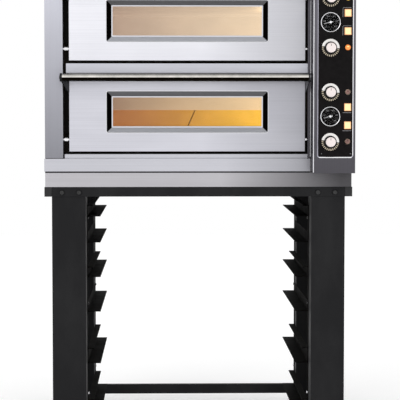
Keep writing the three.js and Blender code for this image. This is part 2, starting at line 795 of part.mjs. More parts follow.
// The chamber box with its front flange and the stepped recess that the lower edge of the door
// swings into. Heights are above the bottom of the door.
function chamberLinerSolid(frameBottom) {
  const half = chamberWidth / 2;
  const x0 = doorCentreX - half;
  const x1 = doorCentreX + half;
  const flangeLeft = leftColumnX + seat;
  const flangeRight = jambLeftX - seat;
  const flangeTop = doorHeight + doorGapAbove - seat;
  const rearY = chamberRearY + caseSheet;
  const riserBackY = recessBackY + caseSheet;
  const outer = joined([
    box(
      x0 - caseSheet, x1 + caseSheet, flangeY, rearY,
      sillHeight, ceilingHeight + caseSheet,
    ),
    box(flangeLeft, flangeRight, flangeY, chamberFrontY, sillHeight - caseSheet, flangeTop),
    box(flangeLeft, flangeRight, flangeY, riserBackY, sillHeight - caseSheet, sillHeight),
    box(flangeLeft, flangeRight, recessBackY, riserBackY, frameBottom, sillHeight),
  ]);
  const cavity = box(
    x0, x1, flangeY - cutMargin, chamberRearY, sillHeight + caseSheet, ceilingHeight,
  );
  return cutBy(outer, [cavity]);
}

function hearthStoneSolid(side) {
  const inner = (side * hearthGap) / 2;
  const outer = side * (chamberWidth / 2 - seat);
  const x0 = doorCentreX + Math.min(inner, outer);
  const x1 = doorCentreX + Math.max(inner, outer);
  return box(x0, x1, flangeY, chamberRearY - seat, hearthBottom, hearthTop);
}

// The centre line of the heating element: straight runs along Y joined by half turns. Its stations
// are the ends of the runs and a few points round each turn, evenly spaced in the parameter.
class HeaterLine extends THREE.Curve {
  constructor(firstX, z) {
    super();
    this.stations = [];
    const radius = heaterPitch / 2;
    for (let run = 0; run < heaterRuns; run += 1) {
      const x = firstX + run * heaterPitch;
      const forward = run % 2 === 0;
      const startY = forward ? heaterFrontY : heaterRearY;
      const endY = forward ? heaterRearY : heaterFrontY;
      this.stations.push(new THREE.Vector3(x, startY, z), new THREE.Vector3(x, endY, z));
      if (run === heaterRuns - 1) break;
      for (let i = 1; i < bendSteps; i += 1) {
        const angle = (Math.PI * i) / bendSteps;
        const bulge = (forward ? 1 : -1) * radius * Math.sin(angle);
        this.stations.push(new THREE.Vector3(x + radius - radius * Math.cos(angle), endY + bulge, z));
      }
    }
  }

  getPoint(t) {
    const place = t * (this.stations.length - 1);
    const before = Math.min(Math.floor(place), this.stations.length - 2);
    return this.stations[before].clone().lerp(this.stations[before + 1], place - before);
  }

  getUtoTmapping(u) {
    return u;
  }
}

// The heating element under the ceiling, with the two strips that hold it to the ceiling.
function heaterSolid() {
  const z = ceilingHeight - heaterDrop;
  const firstX = doorCentreX - ((heaterRuns - 1) * heaterPitch) / 2;
  const lastX = firstX + (heaterRuns - 1) * heaterPitch;
  const section = new THREE.Shape();
  for (let i = 0; i < rodFacets; i += 1) {
    const angle = (2 * Math.PI * i) / rodFacets;
    const x = heaterRadius * Math.cos(angle);
    const y = heaterRadius * Math.sin(angle);
    if (i === 0) section.moveTo(x, y);
    else section.lineTo(x, y);
  }
  const line = new HeaterLine(firstX, z);
  const steps = line.stations.length - 1;
  const parts = [solidFrom(new THREE.ExtrudeGeometry(section, { steps, extrudePath: line }))];
  for (const share of [0.2, 0.8]) {
    const holderY = heaterFrontY + share * (heaterRearY - heaterFrontY);
    parts.push(box(
      firstX - 2 * heaterRadius, lastX + 2 * heaterRadius, holderY, holderY + heaterHolderSheet,
      z - heaterRadius / 2, ceilingHeight - seat,
    ));
  }
  return joined(parts);
}

// ---------------------------------------------------------------- door

// A hollow door pan with a window opening in its front and rear sheets.
function doorPanelSolid() {
  const pan = box(doorLeftX, doorRightX, doorFrontY, doorRearY, 0, doorHeight);
  const hollow = box(
    doorLeftX + caseSheet, doorRightX - caseSheet, doorFrontY + caseSheet, doorRearY - caseSheet,
    caseSheet, doorHeight - caseSheet,
  );
  const frontHole = rectangleOutline(
    doorCentreX, windowCentreHeight, windowWidth + 2 * seat, windowHeight + 2 * seat, windowCorner + seat,
  );
  const rearHole = rectangleOutline(
    doorCentreX, windowCentreHeight, bezelTubeWidth + 2 * seat, bezelTubeHeight + 2 * seat,
  );
  const pinTools = [
    pinHole(doorLeftX, doorLeftX + caseSheet, 0, pinRadius + seat),
    pinHole(doorRightX - caseSheet, doorRightX, 0, pinRadius + seat),
  ];
  return cutBy(pan, [
    hollow,
    loft(frontHole, doorFrontY - cutMargin, frontHole, doorFrontY + caseSheet + cutMargin),
    loft(rearHole, doorRearY - caseSheet - cutMargin, rearHole, doorRearY + cutMargin),
    ...pinTools,
  ]);
}

const bezelTubeWidth = windowWidth - 2 * bezelSlope;
const bezelTubeHeight = windowHeight - 2 * bezelSlope;
const tubeInnerWidth = bezelTubeWidth - 2 * caseSheet;
const tubeInnerHeight = bezelTubeHeight - 2 * caseSheet;
const stopY = doorFrontY + bezelDepth;

// The pressed surround of the window: a sloped face, a narrow stop that the glass rests against
// and a straight sleeve through to the rear of the door.
function windowBezelSolid() {
  const outline = (width, height, radius) => (
    rectangleOutline(doorCentreX, windowCentreHeight, width, height, radius)
  );
  const sleeveCorner = 2;
  const stopRear = stopY + caseSheet;
  const faceOuter = loft(
    outline(windowWidth, windowHeight, windowCorner), doorFrontY,
    outline(bezelTubeWidth, bezelTubeHeight, sleeveCorner), stopRear,
  );
  const slopeGrow = (2 * bezelSlope * cutMargin) / bezelDepth - 2 * caseSheet;
  const faceInner = loft(
    outline(windowWidth + slopeGrow, windowHeight + slopeGrow, windowCorner - caseSheet),
    doorFrontY - cutMargin,
    outline(tubeInnerWidth, tubeInnerHeight, sleeveCorner), stopY,
  );
  const sleeve = loft(
    outline(bezelTubeWidth, bezelTubeHeight, sleeveCorner), stopY,
    outline(bezelTubeWidth, bezelTubeHeight, sleeveCorner), doorRearY,
  );
  const sleeveBore = loft(
    outline(tubeInnerWidth, tubeInnerHeight, sleeveCorner), stopRear,
    outline(tubeInnerWidth, tubeInnerHeight, sleeveCorner), doorRearY + cutMargin,
  );
  const sight = loft(
    outline(tubeInnerWidth - 2 * glassStop, tubeInnerHeight - 2 * glassStop, sleeveCorner), stopY - cutMargin,
    outline(tubeInnerWidth - 2 * glassStop, tubeInnerHeight - 2 * glassStop, sleeveCorner), stopRear + cutMargin,
  );
  return cutBy(joined([faceOuter, sleeve]), [faceInner, sleeveBore, sight]);
}

function windowGlassSolid() {
  const frontY = stopY + caseSheet + seat;
  const outline = rectangleOutline(
    doorCentreX, windowCentreHeight, tubeInnerWidth - 2 * seat, tubeInnerHeight - 2 * seat, 2,
  );
  return loft(outline, frontY, outline, frontY + glassThickness);
}

const tubeLeftX = doorLeftX - handleOverhang;
const tubeRightX = doorRightX + handleRightOverhang;

function handleBarSolid() {
  const start = [tubeLeftX + seat, handleY, handleHeight];
  const length = tubeRightX - tubeLeftX - 2 * seat;
  const bar = rod(handleRadius, length, handleFacets, start, [1, 0, 0]);
  const boreStart = [start[0] - cutMargin, handleY, handleHeight];
  const bore = rod(handleRadius - handleWall, length + 2 * cutMargin, handleFacets, boreStart, [1, 0, 0]);
  return cutBy(bar, [bore]);
}

// One end of the handle: a tab on the side of the door, a flared web and a round boss with a
// spigot that fills the end of the tube.
function handleBracketSolid(side) {
  const rootX = side < 0 ? doorLeftX - seat - bracketSheet / 2 : doorRightX + seat + bracketSheet / 2;
  const tubeEndX = side < 0 ? tubeLeftX : tubeRightX;
  const tipX = tubeEndX + (side * bossThickness) / 2;
  const rootTop = doorHeight - bracketRootDrop;
  const rootCentre = rootTop - bracketRootHeight / 2;
  const root = rectangleOutline(rootX, rootCentre, bracketSheet, bracketRootHeight);
  const tip = rectangleOutline(tipX, handleHeight, bracketSheet, bracketTipHeight);
  const tipY = handleY + handleRadius;
  const spigotRadius = handleRadius - handleWall - seat;
  return joined([
    loft(root, doorFrontY, root, doorFrontY + bracketTabDepth),
    loft(tip, tipY, root, doorFrontY),
    rod(bossRadius, bossThickness, handleFacets, [tubeEndX, handleY, handleHeight], [side, 0, 0]),
    rod(
      spigotRadius, spigotLength + bossThickness / 2, handleFacets,
      [tubeEndX + (side * bossThickness) / 2, handleY, handleHeight], [-side, 0, 0],
    ),
  ]);
}

// A hinge pin along X with a collar in the gap between the door and the casing.
function hingePinSolid(side) {
  const doorSideX = side < 0 ? doorLeftX : doorRightX;
  const caseSideX = side < 0 ? leftColumnX : jambLeftX;
  const collarLength = side < 0 ? leftCollarLength : rightCollarLength;
  const collarRadius = side < 0 ? leftCollarRadius : rightCollarRadius;
  const gap = Math.abs(caseSideX - doorSideX);
  const length = gap + pinReachIntoDoor + pinReachIntoCasing;
  const collarStart = pinReachIntoDoor + (gap - collarLength) / 2;
  const profile = [
    [0, 0],
    [pinRadius, 0],
    [pinRadius, collarStart],
    [collarRadius, collarStart],
    [collarRadius, collarStart + collarLength],
    [pinRadius, collarStart + collarLength],
    [pinRadius, length],
    [0, length],
  ];
  const start = [doorSideX - side * pinReachIntoDoor, hingeY, hingeAboveBottom];
  return turned(profile, pinFacets, start, [side, 0, 0]);
}

function buildDoor(deckName) {
  const door = new THREE.Group();
  addPiece(door, `${deckName}_door_panel`, doorPanelSolid(), 'brushedSteel');
  addPiece(door, `${deckName}_window_bezel`, windowBezelSolid(), 'darkSteel');
  addPiece(door, `${deckName}_window_glass`, windowGlassSolid(), 'glass');
  addPiece(door, `${deckName}_handle_bar`, handleBarSolid(), 'polishedSteel');
  for (const [sideName, side] of [['left', -1], ['right', 1]]) {
    addPiece(door, `${deckName}_handle_bracket_${sideName}`, handleBracketSolid(side), 'polishedSteel');
    addPiece(door, `${deckName}_hinge_pin_${sideName}`, hingePinSolid(side), 'polishedSteel');
  }
  return door;
}

// One deck, in heights above the bottom of its door.
function buildDeck(deckName, doorBottom, frameBottom) {
  const deck = new THREE.Group();
  deck.position.z = doorBottom;
  addPiece(deck, `${deckName}_chamber_liner`, chamberLinerSolid(frameBottom - doorBottom), 'innerSteel');
  addPiece(deck, `${deckName}_hearth_stone_left`, hearthStoneSolid(-1), 'stone');
  addPiece(deck, `${deckName}_hearth_stone_right`, hearthStoneSolid(1), 'stone');
  addPiece(deck, `${deckName}_heating_element`, heaterSolid(), 'heater');
  deck.add(buildDoor(deckName));
  return deck;
}

// ---------------------------------------------------------------- assembly

const oven = new THREE.Group();
oven.position.y = -(objectFrontY + objectRearY) / 2;
oven.add(buildStand());
oven.add(buildCasing());
oven.add(buildDeck('lower', lowerDoorBottom, basePanelTop + seat));
oven.add(buildDeck('upper', upperDoorBottom, lowerDoorBottom + doorHeight + doorGapAbove));
oven.add(buildControls('lower', lowerGaugeZ));
oven.add(buildControls('upper', upperGaugeZ));

const assembly = new THREE.Group();
assembly.add(oven);

export default assembly;
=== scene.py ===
"""Looks of a twin-deck electric pizza oven on an open stand. Metres, in the frame of the CAD model."""
import math

import bmesh
import bpy
from mathutils import Matrix, Vector


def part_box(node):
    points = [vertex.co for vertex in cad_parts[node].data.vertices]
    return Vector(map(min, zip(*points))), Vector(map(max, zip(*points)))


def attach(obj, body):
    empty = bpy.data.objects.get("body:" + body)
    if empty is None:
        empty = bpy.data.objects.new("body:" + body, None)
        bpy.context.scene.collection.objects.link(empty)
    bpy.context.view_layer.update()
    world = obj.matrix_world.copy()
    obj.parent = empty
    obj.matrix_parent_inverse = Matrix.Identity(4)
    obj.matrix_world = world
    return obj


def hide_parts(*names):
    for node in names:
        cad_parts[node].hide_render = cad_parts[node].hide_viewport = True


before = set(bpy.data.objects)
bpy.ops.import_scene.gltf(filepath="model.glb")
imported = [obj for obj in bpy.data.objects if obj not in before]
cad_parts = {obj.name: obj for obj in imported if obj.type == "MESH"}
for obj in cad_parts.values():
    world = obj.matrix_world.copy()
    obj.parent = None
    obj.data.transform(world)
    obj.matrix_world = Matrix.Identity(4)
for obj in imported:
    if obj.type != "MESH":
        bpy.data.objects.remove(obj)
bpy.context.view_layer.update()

DECKS = ("lower", "upper")
SIDES = ("left", "right")
FRONT = Vector((0, -1, 0))
REAR = Vector((0, 1, 0))

# ---------------------------------------------------------------- places taken from the frame


def low(node):
    return Vector(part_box(node)[0])


def high(node):
    return Vector(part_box(node)[1])


def middle(node):
    return (low(node) + high(node)) / 2


FRONT_Y = low("plinth").y                # front plane of the casing
FASCIA_Y = low("control_fascia").y
MOUTH_Y = low("lower_chamber_liner").y   # front of the chamber liners
DOOR_X = middle("lower_door_panel").x

# ---------------------------------------------------------------- node helpers


def new_material(name):
    material = bpy.data.materials.new(name)
    material.use_nodes = True
    tree = material.node_tree
    return material, tree, tree.nodes["Principled BSDF"]


def coordinate(tree, scale, offset=(0, 0, 0)):
    """Object coordinates stretched by scale: a small number gives long grain along that axis."""
    source = tree.nodes.new("ShaderNodeTexCoord")
    mapping = tree.nodes.new("ShaderNodeMapping")
    mapping.inputs["Scale"].default_value = scale
    mapping.inputs["Location"].default_value = offset
    tree.links.new(source.outputs["Object"], mapping.inputs["Vector"])
    return mapping.outputs["Vector"]


def noise(tree, stretch, scale, detail=3.0, roughness=0.5, offset=(0, 0, 0)):
    """Noise over object coordinates that are stretched and shifted first."""
    node = tree.nodes.new("ShaderNodeTexNoise")
    node.inputs["Scale"].default_value = scale
    node.inputs["Detail"].default_value = detail
    node.inputs["Roughness"].default_value = roughness
    tree.links.new(coordinate(tree, stretch, offset), node.inputs["Vector"])
    return node.outputs["Fac"]


def ramp(tree, value, low_at, low_value, high_at, high_value):
    """Maps a value from low_at..high_at to low_value..high_value, held at both ends."""
    node = tree.nodes.new("ShaderNodeMapRange")
    node.inputs["From Min"].default_value = low_at
    node.inputs["From Max"].default_value = high_at
    node.inputs["To Min"].default_value = low_value
    node.inputs["To Max"].default_value = high_value
    tree.links.new(value, node.inputs["Value"])
    return node.outputs["Result"]


def math_node(tree, operation, first, second):
    node = tree.nodes.new("ShaderNodeMath")
    node.operation = operation
    for socket, value in zip(node.inputs, (first, second)):
        if isinstance(value, (int, float)):
            socket.default_value = value
        else:
            tree.links.new(value, socket)
    return node.outputs["Value"]


def tinted(tree, factor, dark, light):
    """A colour between dark and light by a factor from 0 to 1. Each is a colour or a socket."""
    node = tree.nodes.new("ShaderNodeMix")
    node.data_type = "RGBA"
    tree.links.new(factor, node.inputs["Factor"])
    for socket, colour in ((node.inputs[6], dark), (node.inputs[7], light)):
        if isinstance(colour, tuple):
            socket.default_value = (*colour, 1)
        else:
            tree.links.new(colour, socket)
    return node.outputs[2]


def object_axis(tree, axis, kind="Object"):
    """One axis of the object coordinates or, with kind "Normal", of the surface's direction."""
    source = tree.nodes.new("ShaderNodeTexCoord")
    split = tree.nodes.new("ShaderNodeSeparateXYZ")
    tree.links.new(source.outputs[kind], split.inputs["Vector"])
    return split.outputs[axis]


def add_bump(tree, shader, height, strength, distance):
    bump = tree.nodes.new("ShaderNodeBump")
    bump.inputs["Strength"].default_value = strength
    bump.inputs["Distance"].default_value = distance
    tree.links.new(height, bump.inputs["Height"])
    tree.links.new(bump.outputs["Normal"], shader.inputs["Normal"])


# ---------------------------------------------------------------- materials


def brushed_steel(name, light, dark, rough, grain, painted_shade=None):
    """Brushed sheet. grain is the axis of the brush strokes; fade is (axis, from, to, least), painted shade
    that darkens the colour towards near black along that axis, down to least at from and not at all at to.
    """
    material, tree, shader = new_material(name)
    stretch = {"X": (1.2, 900, 900), "Y": (900, 1.2, 900), "Z": (900, 900, 1.2)}[grain]
    streaks = noise(tree, stretch, 1.0, 4.0, 0.6)
    drift = {"X": (0.9, 2.6, 3.4), "Y": (2.6, 0.9, 3.4), "Z": (2.6, 2.6, 0.9)}[grain]
    clouds = noise(tree, drift, 1.6, 3.0, 0.5, (0.3, 0.1, 0.7))
    smudges = noise(tree, (9, 9, 9), 1.6, 6.0, 0.7, (1.7, 0.4, 0.2))
    blend = math_node(tree, "MULTIPLY", streaks, 0.5)
    blend = math_node(tree, "ADD", blend, math_node(tree, "MULTIPLY", clouds, 0.5))
    blend = ramp(tree, blend, 0.28, 0.0, 0.72, 1.0)
    # painted shade: the steel darkens towards near black along the given axis
    if painted_shade:
        axis, start, end, least = painted_shade
        shade = ramp(tree, object_axis(tree, axis), start, least, end, 1.0)
        blend = math_node(tree, "MULTIPLY", blend, shade)
        steel = tinted(tree, blend, dark, light)
        tree.links.new(tinted(tree, shade, (0.02, 0.019, 0.021), steel), shader.inputs["Base Color"])
    else:
        tree.links.new(tinted(tree, blend, dark, light), shader.inputs["Base Color"])
    sheen = math_node(tree, "ADD", math_node(tree, "MULTIPLY", streaks, 0.4),
                      math_node(tree, "MULTIPLY", smudges, 0.6))
    tree.links.new(ramp(tree, sheen, 0.3, rough - 0.07, 0.7, rough + 0.09), shader.inputs["Roughness"])
    shader.inputs["Metallic"].default_value = 1.0
    add_bump(tree, shader, streaks, 0.10, 0.0003)
    return material


def painted_metal(name, colour, edge, rough, grit=420.0, specular=0.10):
    """Powder coat: fine orange-peel bump, dusty patches and slightly rubbed high spots."""
    material, tree, shader = new_material(name)
    peel = noise(tree, (1, 1, 1), grit, 3.0, 0.6)
    dust = noise(tree, (3, 3, 1.2), 2.6, 6.0, 0.65)
    patch = ramp(tree, dust, 0.42, 0.0, 0.68, 1.0)
    tree.links.new(tinted(tree, patch, colour, edge), shader.inputs["Base Color"])
    tree.links.new(ramp(tree, dust, 0.3, rough - 0.08, 0.7, rough + 0.12), shader.inputs["Roughness"])
    shader.inputs["Specular IOR Level"].default_value = specular
    add_bump(tree, shader, peel, 0.22, 0.0004)
    return material


def polished_steel(name, light, dark, rough, painted_light_axis=None):
    """Polished steel. With painted_light_axis the colour is painted by which way the surface faces along that
    axis, as a bright bar over a shadowed gap: painted shade makes the underside dark, a painted highlight
    makes the band just above the middle bright, and the top is dimmer.
    """
    material, tree, shader = new_material(name)
    scratches = noise(tree, (6, 700, 700), 1.0, 3.0, 0.6)
    patches = noise(tree, (12, 12, 12), 2.0, 4.0, 0.6)
    factor = ramp(tree, patches, 0.3, 0.72, 0.7, 1.0)
    if painted_light_axis:
        upward = object_axis(tree, painted_light_axis, "Normal")
        facing = ramp(tree, upward, -0.10, 0.0, 0.02, 1.0)
        crown = ramp(tree, upward, 0.30, 1.0, 0.55, 0.42)
        factor = math_node(tree, "MULTIPLY", factor, facing)
        factor = math_node(tree, "MULTIPLY", factor, crown)
    tree.links.new(tinted(tree, factor, dark, light), shader.inputs["Base Color"])
    tree.links.new(ramp(tree, scratches, 0.3, rough, 0.7, rough + 0.1), shader.inputs["Roughness"])
    shader.inputs["Metallic"].default_value = 1.0
    add_bump(tree, shader, scratches, 0.05, 0.0002)
    return material


def bezel_steel(name):
    """Pressed window surround: its side faces sit in shade, its lower face catches the light."""
    material, tree, shader = new_material(name)
    streaks = noise(tree, (1.5, 600, 600), 1.0, 3.0, 0.6)
    lift = ramp(tree, object_axis(tree, "Z", "Normal"), -0.5, 0.0, 0.5, 1.0)
    lift = math_node(tree, "ADD", lift, ramp(tree, streaks, 0.3, -0.08, 0.7, 0.08))
    upright = tinted(tree, lift, (0.135, 0.135, 0.140), (0.56, 0.57, 0.61))
    sideways = math_node(tree, "ABSOLUTE", object_axis(tree, "X", "Normal"), 0)
    side = ramp(tree, sideways, 0.15, 0.0, 0.45, 1.0)
    tree.links.new(tinted(tree, side, upright, (0.0012, 0.0008, 0.0006)), shader.inputs["Base Color"])
    tree.links.new(ramp(tree, streaks, 0.3, 0.26, 0.7, 0.4), shader.inputs["Roughness"])
    shader.inputs["Metallic"].default_value = 1.0
    add_bump(tree, shader, streaks, 0.08, 0.0002)
    return material


def plastic(name, light, dark, rough, grit=900.0, specular=0.3, glow=0.0, glow_colour=(1, 1, 1)):
    """Moulded plastic with a fine grain, faint cloudiness and an optional inner glow."""
    material, tree, shader = new_material(name)
    grain = noise(tree, (1, 1, 1), grit, 2.0, 0.5)
    cloud = noise(tree, (30, 30, 30), 2.0, 4.0, 0.6)
    factor = ramp(tree, cloud, 0.3, 0.0, 0.7, 1.0)
    tree.links.new(tinted(tree, factor, dark, light), shader.inputs["Base Color"])
    tree.links.new(ramp(tree, cloud, 0.3, rough - 0.05, 0.7, rough + 0.08), shader.inputs["Roughness"])
    shader.inputs["Specular IOR Level"].default_value = specular
    if glow:
        shader.inputs["Emission Color"].default_value = (*glow_colour, 1)
        shader.inputs["Emission Strength"].default_value = glow
    add_bump(tree, shader, grain, 0.08, 0.0001)
    return material


def chamber_steel(name, glow, dim_painted_light, bright_painted_light, even=False):
    """Aluminised lining, heat-tinted, with painted light: an emitted warm glow in place of the lamp's light,
    strongest beside the lamp.
    Unless it is even, the glow fades towards the mouth, and the flange at the mouth is nearly black."""
    material, tree, shader = new_material(name)
    tint = noise(tree, (3, 3, 5), 2.0, 6.0, 0.65)
    streaks = noise(tree, (2, 300, 300), 1.0, 3.0, 0.6)
    colour = tinted(tree, ramp(tree, tint, 0.35, 0.0, 0.65, 1.0),
                    (0.20, 0.155, 0.115), (0.30, 0.245, 0.19))
    tree.links.new(ramp(tree, streaks, 0.3, 0.38, 0.7, 0.55), shader.inputs["Roughness"])
    shader.inputs["Metallic"].default_value = 0.6
    shader.inputs["Specular IOR Level"].default_value = 0.1
    across = ramp(tree, object_axis(tree, "X"), DOOR_X - 0.30, 0.0, DOOR_X + 0.30, 1.0)
    depth = ramp(tree, object_axis(tree, "Y"), FRONT_Y + 0.30, 0.0, FRONT_Y + 0.72, 1.0)
    tree.links.new(tinted(tree, across, dim_painted_light, bright_painted_light), shader.inputs["Emission Color"])
    if even:
        tree.links.new(colour, shader.inputs["Base Color"])
        shader.inputs["Emission Strength"].default_value = glow
        add_bump(tree, shader, streaks, 0.1, 0.0003)
        return material
    mouth = ramp(tree, object_axis(tree, "Y"), MOUTH_Y + 0.03, 0.0, MOUTH_Y + 0.12, 1.0)
    tree.links.new(tinted(tree, mouth, (0.004, 0.0035, 0.003), colour), shader.inputs["Base Color"])
    tree.links.new(math_node(tree, "MULTIPLY", depth, glow), shader.inputs["Emission Strength"])
    add_bump(tree, shader, streaks, 0.1, 0.0003)
    return material


def firebrick(name, glow, dim_painted_light, bright_painted_light):
    """Fired stone: sandy grain, pores and scorched patches, warmly lit from the lamp's side by painted light,
    an emitted glow that grows towards that side.
    """
    material, tree, shader = new_material(name)
    sand = noise(tree, (1, 1, 1), 260.0, 5.0, 0.7)
    scorch = noise(tree, (4, 4, 4), 2.0, 7.0, 0.7)
    pores = tree.nodes.new("ShaderNodeTexVoronoi")
    pores.inputs["Scale"].default_value = 170.0
    tree.links.new(coordinate(tree, (1, 1, 1)), pores.inputs["Vector"])
    spot = ramp(tree, pores.outputs["Distance"], 0.04, 0.0, 0.16, 1.0)
    mixed = math_node(tree, "MULTIPLY", ramp(tree, scorch, 0.36, 0.25, 0.64, 1.0), spot)
    tree.links.new(tinted(tree, mixed, (0.10, 0.055, 0.028), (0.25, 0.15, 0.075)),
                   shader.inputs["Base Color"])
    shader.inputs["Roughness"].default_value = 0.92
    across = ramp(tree, object_axis(tree, "X"), DOOR_X - 0.29, 0.0, DOOR_X + 0.30, 1.0)
    across = math_node(tree, "POWER", across, 1.6)
    grained = math_node(tree, "MULTIPLY", across, ramp(tree, scorch, 0.3, 0.86, 0.7, 1.1))
    tree.links.new(tinted(tree, grained, dim_painted_light, bright_painted_light), shader.inputs["Emission Color"])
    shader.inputs["Emission Strength"].default_value = glow
    add_bump(tree, shader, sand, 0.35, 0.0012)
    return material


def clear_glass(name, tint, alpha, specular=0.08):
    """Thin heat-proof glass: mostly see-through, with faint wiping marks in its gloss."""
    material, tree, shader = new_material(name)
    wipes = noise(tree, (5, 5, 26), 2.0, 5.0, 0.6)
    tree.links.new(tinted(tree, ramp(tree, wipes, 0.3, 0.0, 0.7, 1.0), tint, (0.75, 0.72, 0.68)),
                   shader.inputs["Base Color"])
    tree.links.new(ramp(tree, wipes, 0.3, 0.03, 0.7, 0.12), shader.inputs["Roughness"])
    shader.inputs["Specular IOR Level"].default_value = specular
    shader.inputs["Alpha"].default_value = alpha
    return material


def rope_seal(name):
    """Braided glass-fibre cord."""
    material, tree, shader = new_material(name)
    weave = tree.nodes.new("ShaderNodeTexWave")
    weave.inputs["Scale"].default_value = 90.0
    weave.inputs["Distortion"].default_value = 1.5
    tree.links.new(coordinate(tree, (1, 1, 1)), weave.inputs["Vector"])
    tree.links.new(tinted(tree, weave.outputs["Fac"], (0.16, 0.15, 0.13), (0.42, 0.40, 0.36)),
                   shader.inputs["Base Color"])
    shader.inputs["Roughness"].default_value = 0.95
    add_bump(tree, shader, weave.outputs["Fac"], 0.6, 0.0006)
    return material


TOP_Z = high("top_cover").z
PLINTH_TOP = high("plinth").z
# painted shade on both doors: darker towards the right. The upper door's steel is a lighter copy of the lower
# one's, a painted highlight.
steel_door = brushed_steel("door_steel", (0.74, 0.74, 0.80), (0.48, 0.48, 0.53), 0.34, "X",
                           ("X", DOOR_X + 0.62, DOOR_X + 0.05, 0.50))
upper_door_highlight_steel = brushed_steel("upper_door_painted_highlight", (0.94, 0.94, 0.99), (0.66, 0.66, 0.71), 0.34, "X",
                                 ("X", DOOR_X + 0.62, DOOR_X + 0.05, 0.52))
steel_case = brushed_steel("casing_steel", (0.66, 0.67, 0.73), (0.50, 0.50, 0.55), 0.36, "X")
steel_back = brushed_steel("back_steel", (0.40, 0.41, 0.44), (0.29, 0.30, 0.32), 0.46, "Z")
# painted shade: the left side and the column darken towards the bottom, the base panel and the plinth towards
# the right
steel_side = brushed_steel("side_steel", (0.68, 0.69, 0.76), (0.54, 0.54, 0.60), 0.38, "Z",
                           ("Z", PLINTH_TOP - 0.20, TOP_Z - 0.05, 0.22))
steel_base = brushed_steel("base_steel", (0.62, 0.62, 0.67), (0.48, 0.48, 0.52), 0.36, "X",
                           ("X", 0.50, 0.10, 0.55))
steel_plinth = brushed_steel("plinth_steel", (0.56, 0.55, 0.58), (0.41, 0.40, 0.42), 0.42, "X",
                             ("X", 0.52, 0.08, 0.16))
steel_column = brushed_steel("column_steel", (0.17, 0.165, 0.185), (0.105, 0.10, 0.115), 0.40, "Z",
                             ("Z", PLINTH_TOP - 0.30, PLINTH_TOP + 0.60, 0.45))
steel_bezel = bezel_steel("bezel_steel")
steel_bright = polished_steel("bright_steel", (0.90, 0.90, 0.92), (0.62, 0.62, 0.66), 0.14)
stop_steel = polished_steel("stop_steel", (0.72, 0.72, 0.76), (0.58, 0.58, 0.62), 0.3)
trim_steel = polished_steel("trim_steel", (0.40, 0.39, 0.45), (0.24, 0.23, 0.27), 0.35)
# painted shade and highlight: the handle and bracket steels are dark below, bright just above the middle and
# dimmer on top
steel_handle = polished_steel("handle_steel", (0.88, 0.85, 0.80), (0.004, 0.003, 0.002), 0.2, "Z")
steel_bracket = polished_steel("bracket_steel", (0.22, 0.22, 0.23), (0.05, 0.05, 0.055), 0.3, "Z")
# painted shade: a near-black copy of the bracket steel for the left handle brackets
bracket_shaded_copy = polished_steel("bracket_shaded_copy", (0.020, 0.021, 0.022), (0.006, 0.006, 0.006), 0.3)
paint_stand = painted_metal("stand_paint", (0.0115, 0.0115, 0.0125), (0.0185, 0.0185, 0.0195), 0.60)
# painted shade: the stand's black paint made darker and less glossy for the tray racks inside the stand
rack_shade_paint = painted_metal("rack_paint", (0.0022, 0.0019, 0.0016), (0.0050, 0.0045, 0.0040), 0.75,
                           420.0, 0.02)
paint_endcap = painted_metal("endcap_paint", (0.030, 0.030, 0.031), (0.046, 0.046, 0.048), 0.6)
bolt_black = painted_metal("bolt_black", (0.004, 0.004, 0.0045), (0.016, 0.016, 0.017), 0.28, 300.0, 0.6)
fascia_black = plastic("fascia_black", (0.0075, 0.0065, 0.0068), (0.0045, 0.0038, 0.0040), 0.42, 1400.0, 0.06)
black_plastic = plastic("black_plastic", (0.010, 0.010, 0.011), (0.004, 0.004, 0.005), 0.4, 900.0, 0.12)
dial_black = plastic("dial_black", (0.0020, 0.0020, 0.0024), (0.0012, 0.0012, 0.0015), 0.6, 300.0, 0.03)
print_grey = plastic("print_grey", (0.32, 0.31, 0.32), (0.24, 0.23, 0.24), 0.6, 900.0, 0.1)
print_dim = plastic("print_dim", (0.24, 0.24, 0.25), (0.18, 0.18, 0.19), 0.6, 300.0, 0.1)
needle_white = plastic("needle_white", (0.93, 0.93, 0.94), (0.80, 0.80, 0.82), 0.4, 900.0, 0.2)
knob_cap = polished_steel("knob_cap", (0.90, 0.82, 0.80), (0.74, 0.66, 0.64), 0.40)
lamp_lit = plastic("lamp_lit", (0.35, 0.11, 0.03), (0.3, 0.08, 0.02), 0.18, 900.0, 0.4, 0.85,
                   (1.0, 0.32, 0.07))
lamp_lit_core = plastic("lamp_lit_core", (0.4, 0.32, 0.14), (0.4, 0.28, 0.12), 0.18, 900.0, 0.4, 1.1,
                        (1.0, 0.72, 0.28))
lamp_off_core = plastic("lamp_off_core", (0.10, 0.035, 0.03), (0.05, 0.018, 0.016), 0.2, 900.0, 0.4)
lamp_off = plastic("lamp_off", (0.30, 0.17, 0.14), (0.15, 0.07, 0.06), 0.2, 900.0, 0.5)
# painted light: the linings, element guards and heater sheaths glow warm in place of the chamber lamps' light
lining = {"lower": chamber_steel("chamber_steel_lower", 0.80, (0.33, 0.21, 0.14), (0.85, 0.63, 0.36)),
          "upper": chamber_steel("chamber_steel_upper", 0.80, (0.47, 0.34, 0.26), (0.87, 0.70, 0.50))}
guard = {"lower": chamber_steel("element_guard_lower", 0.62, (0.30, 0.19, 0.12), (0.80, 0.59, 0.33), True),
         "upper": chamber_steel("element_guard_upper", 0.72, (0.47, 0.34, 0.26), (0.87, 0.70, 0.50), True)}
sheath = {"lower": chamber_steel("heater_sheath_lower", 0.62, (0.33, 0.21, 0.14), (0.85, 0.63, 0.36)),
          "upper": chamber_steel("heater_sheath_upper", 0.66, (0.47, 0.34, 0.26), (0.87, 0.70, 0.50))}
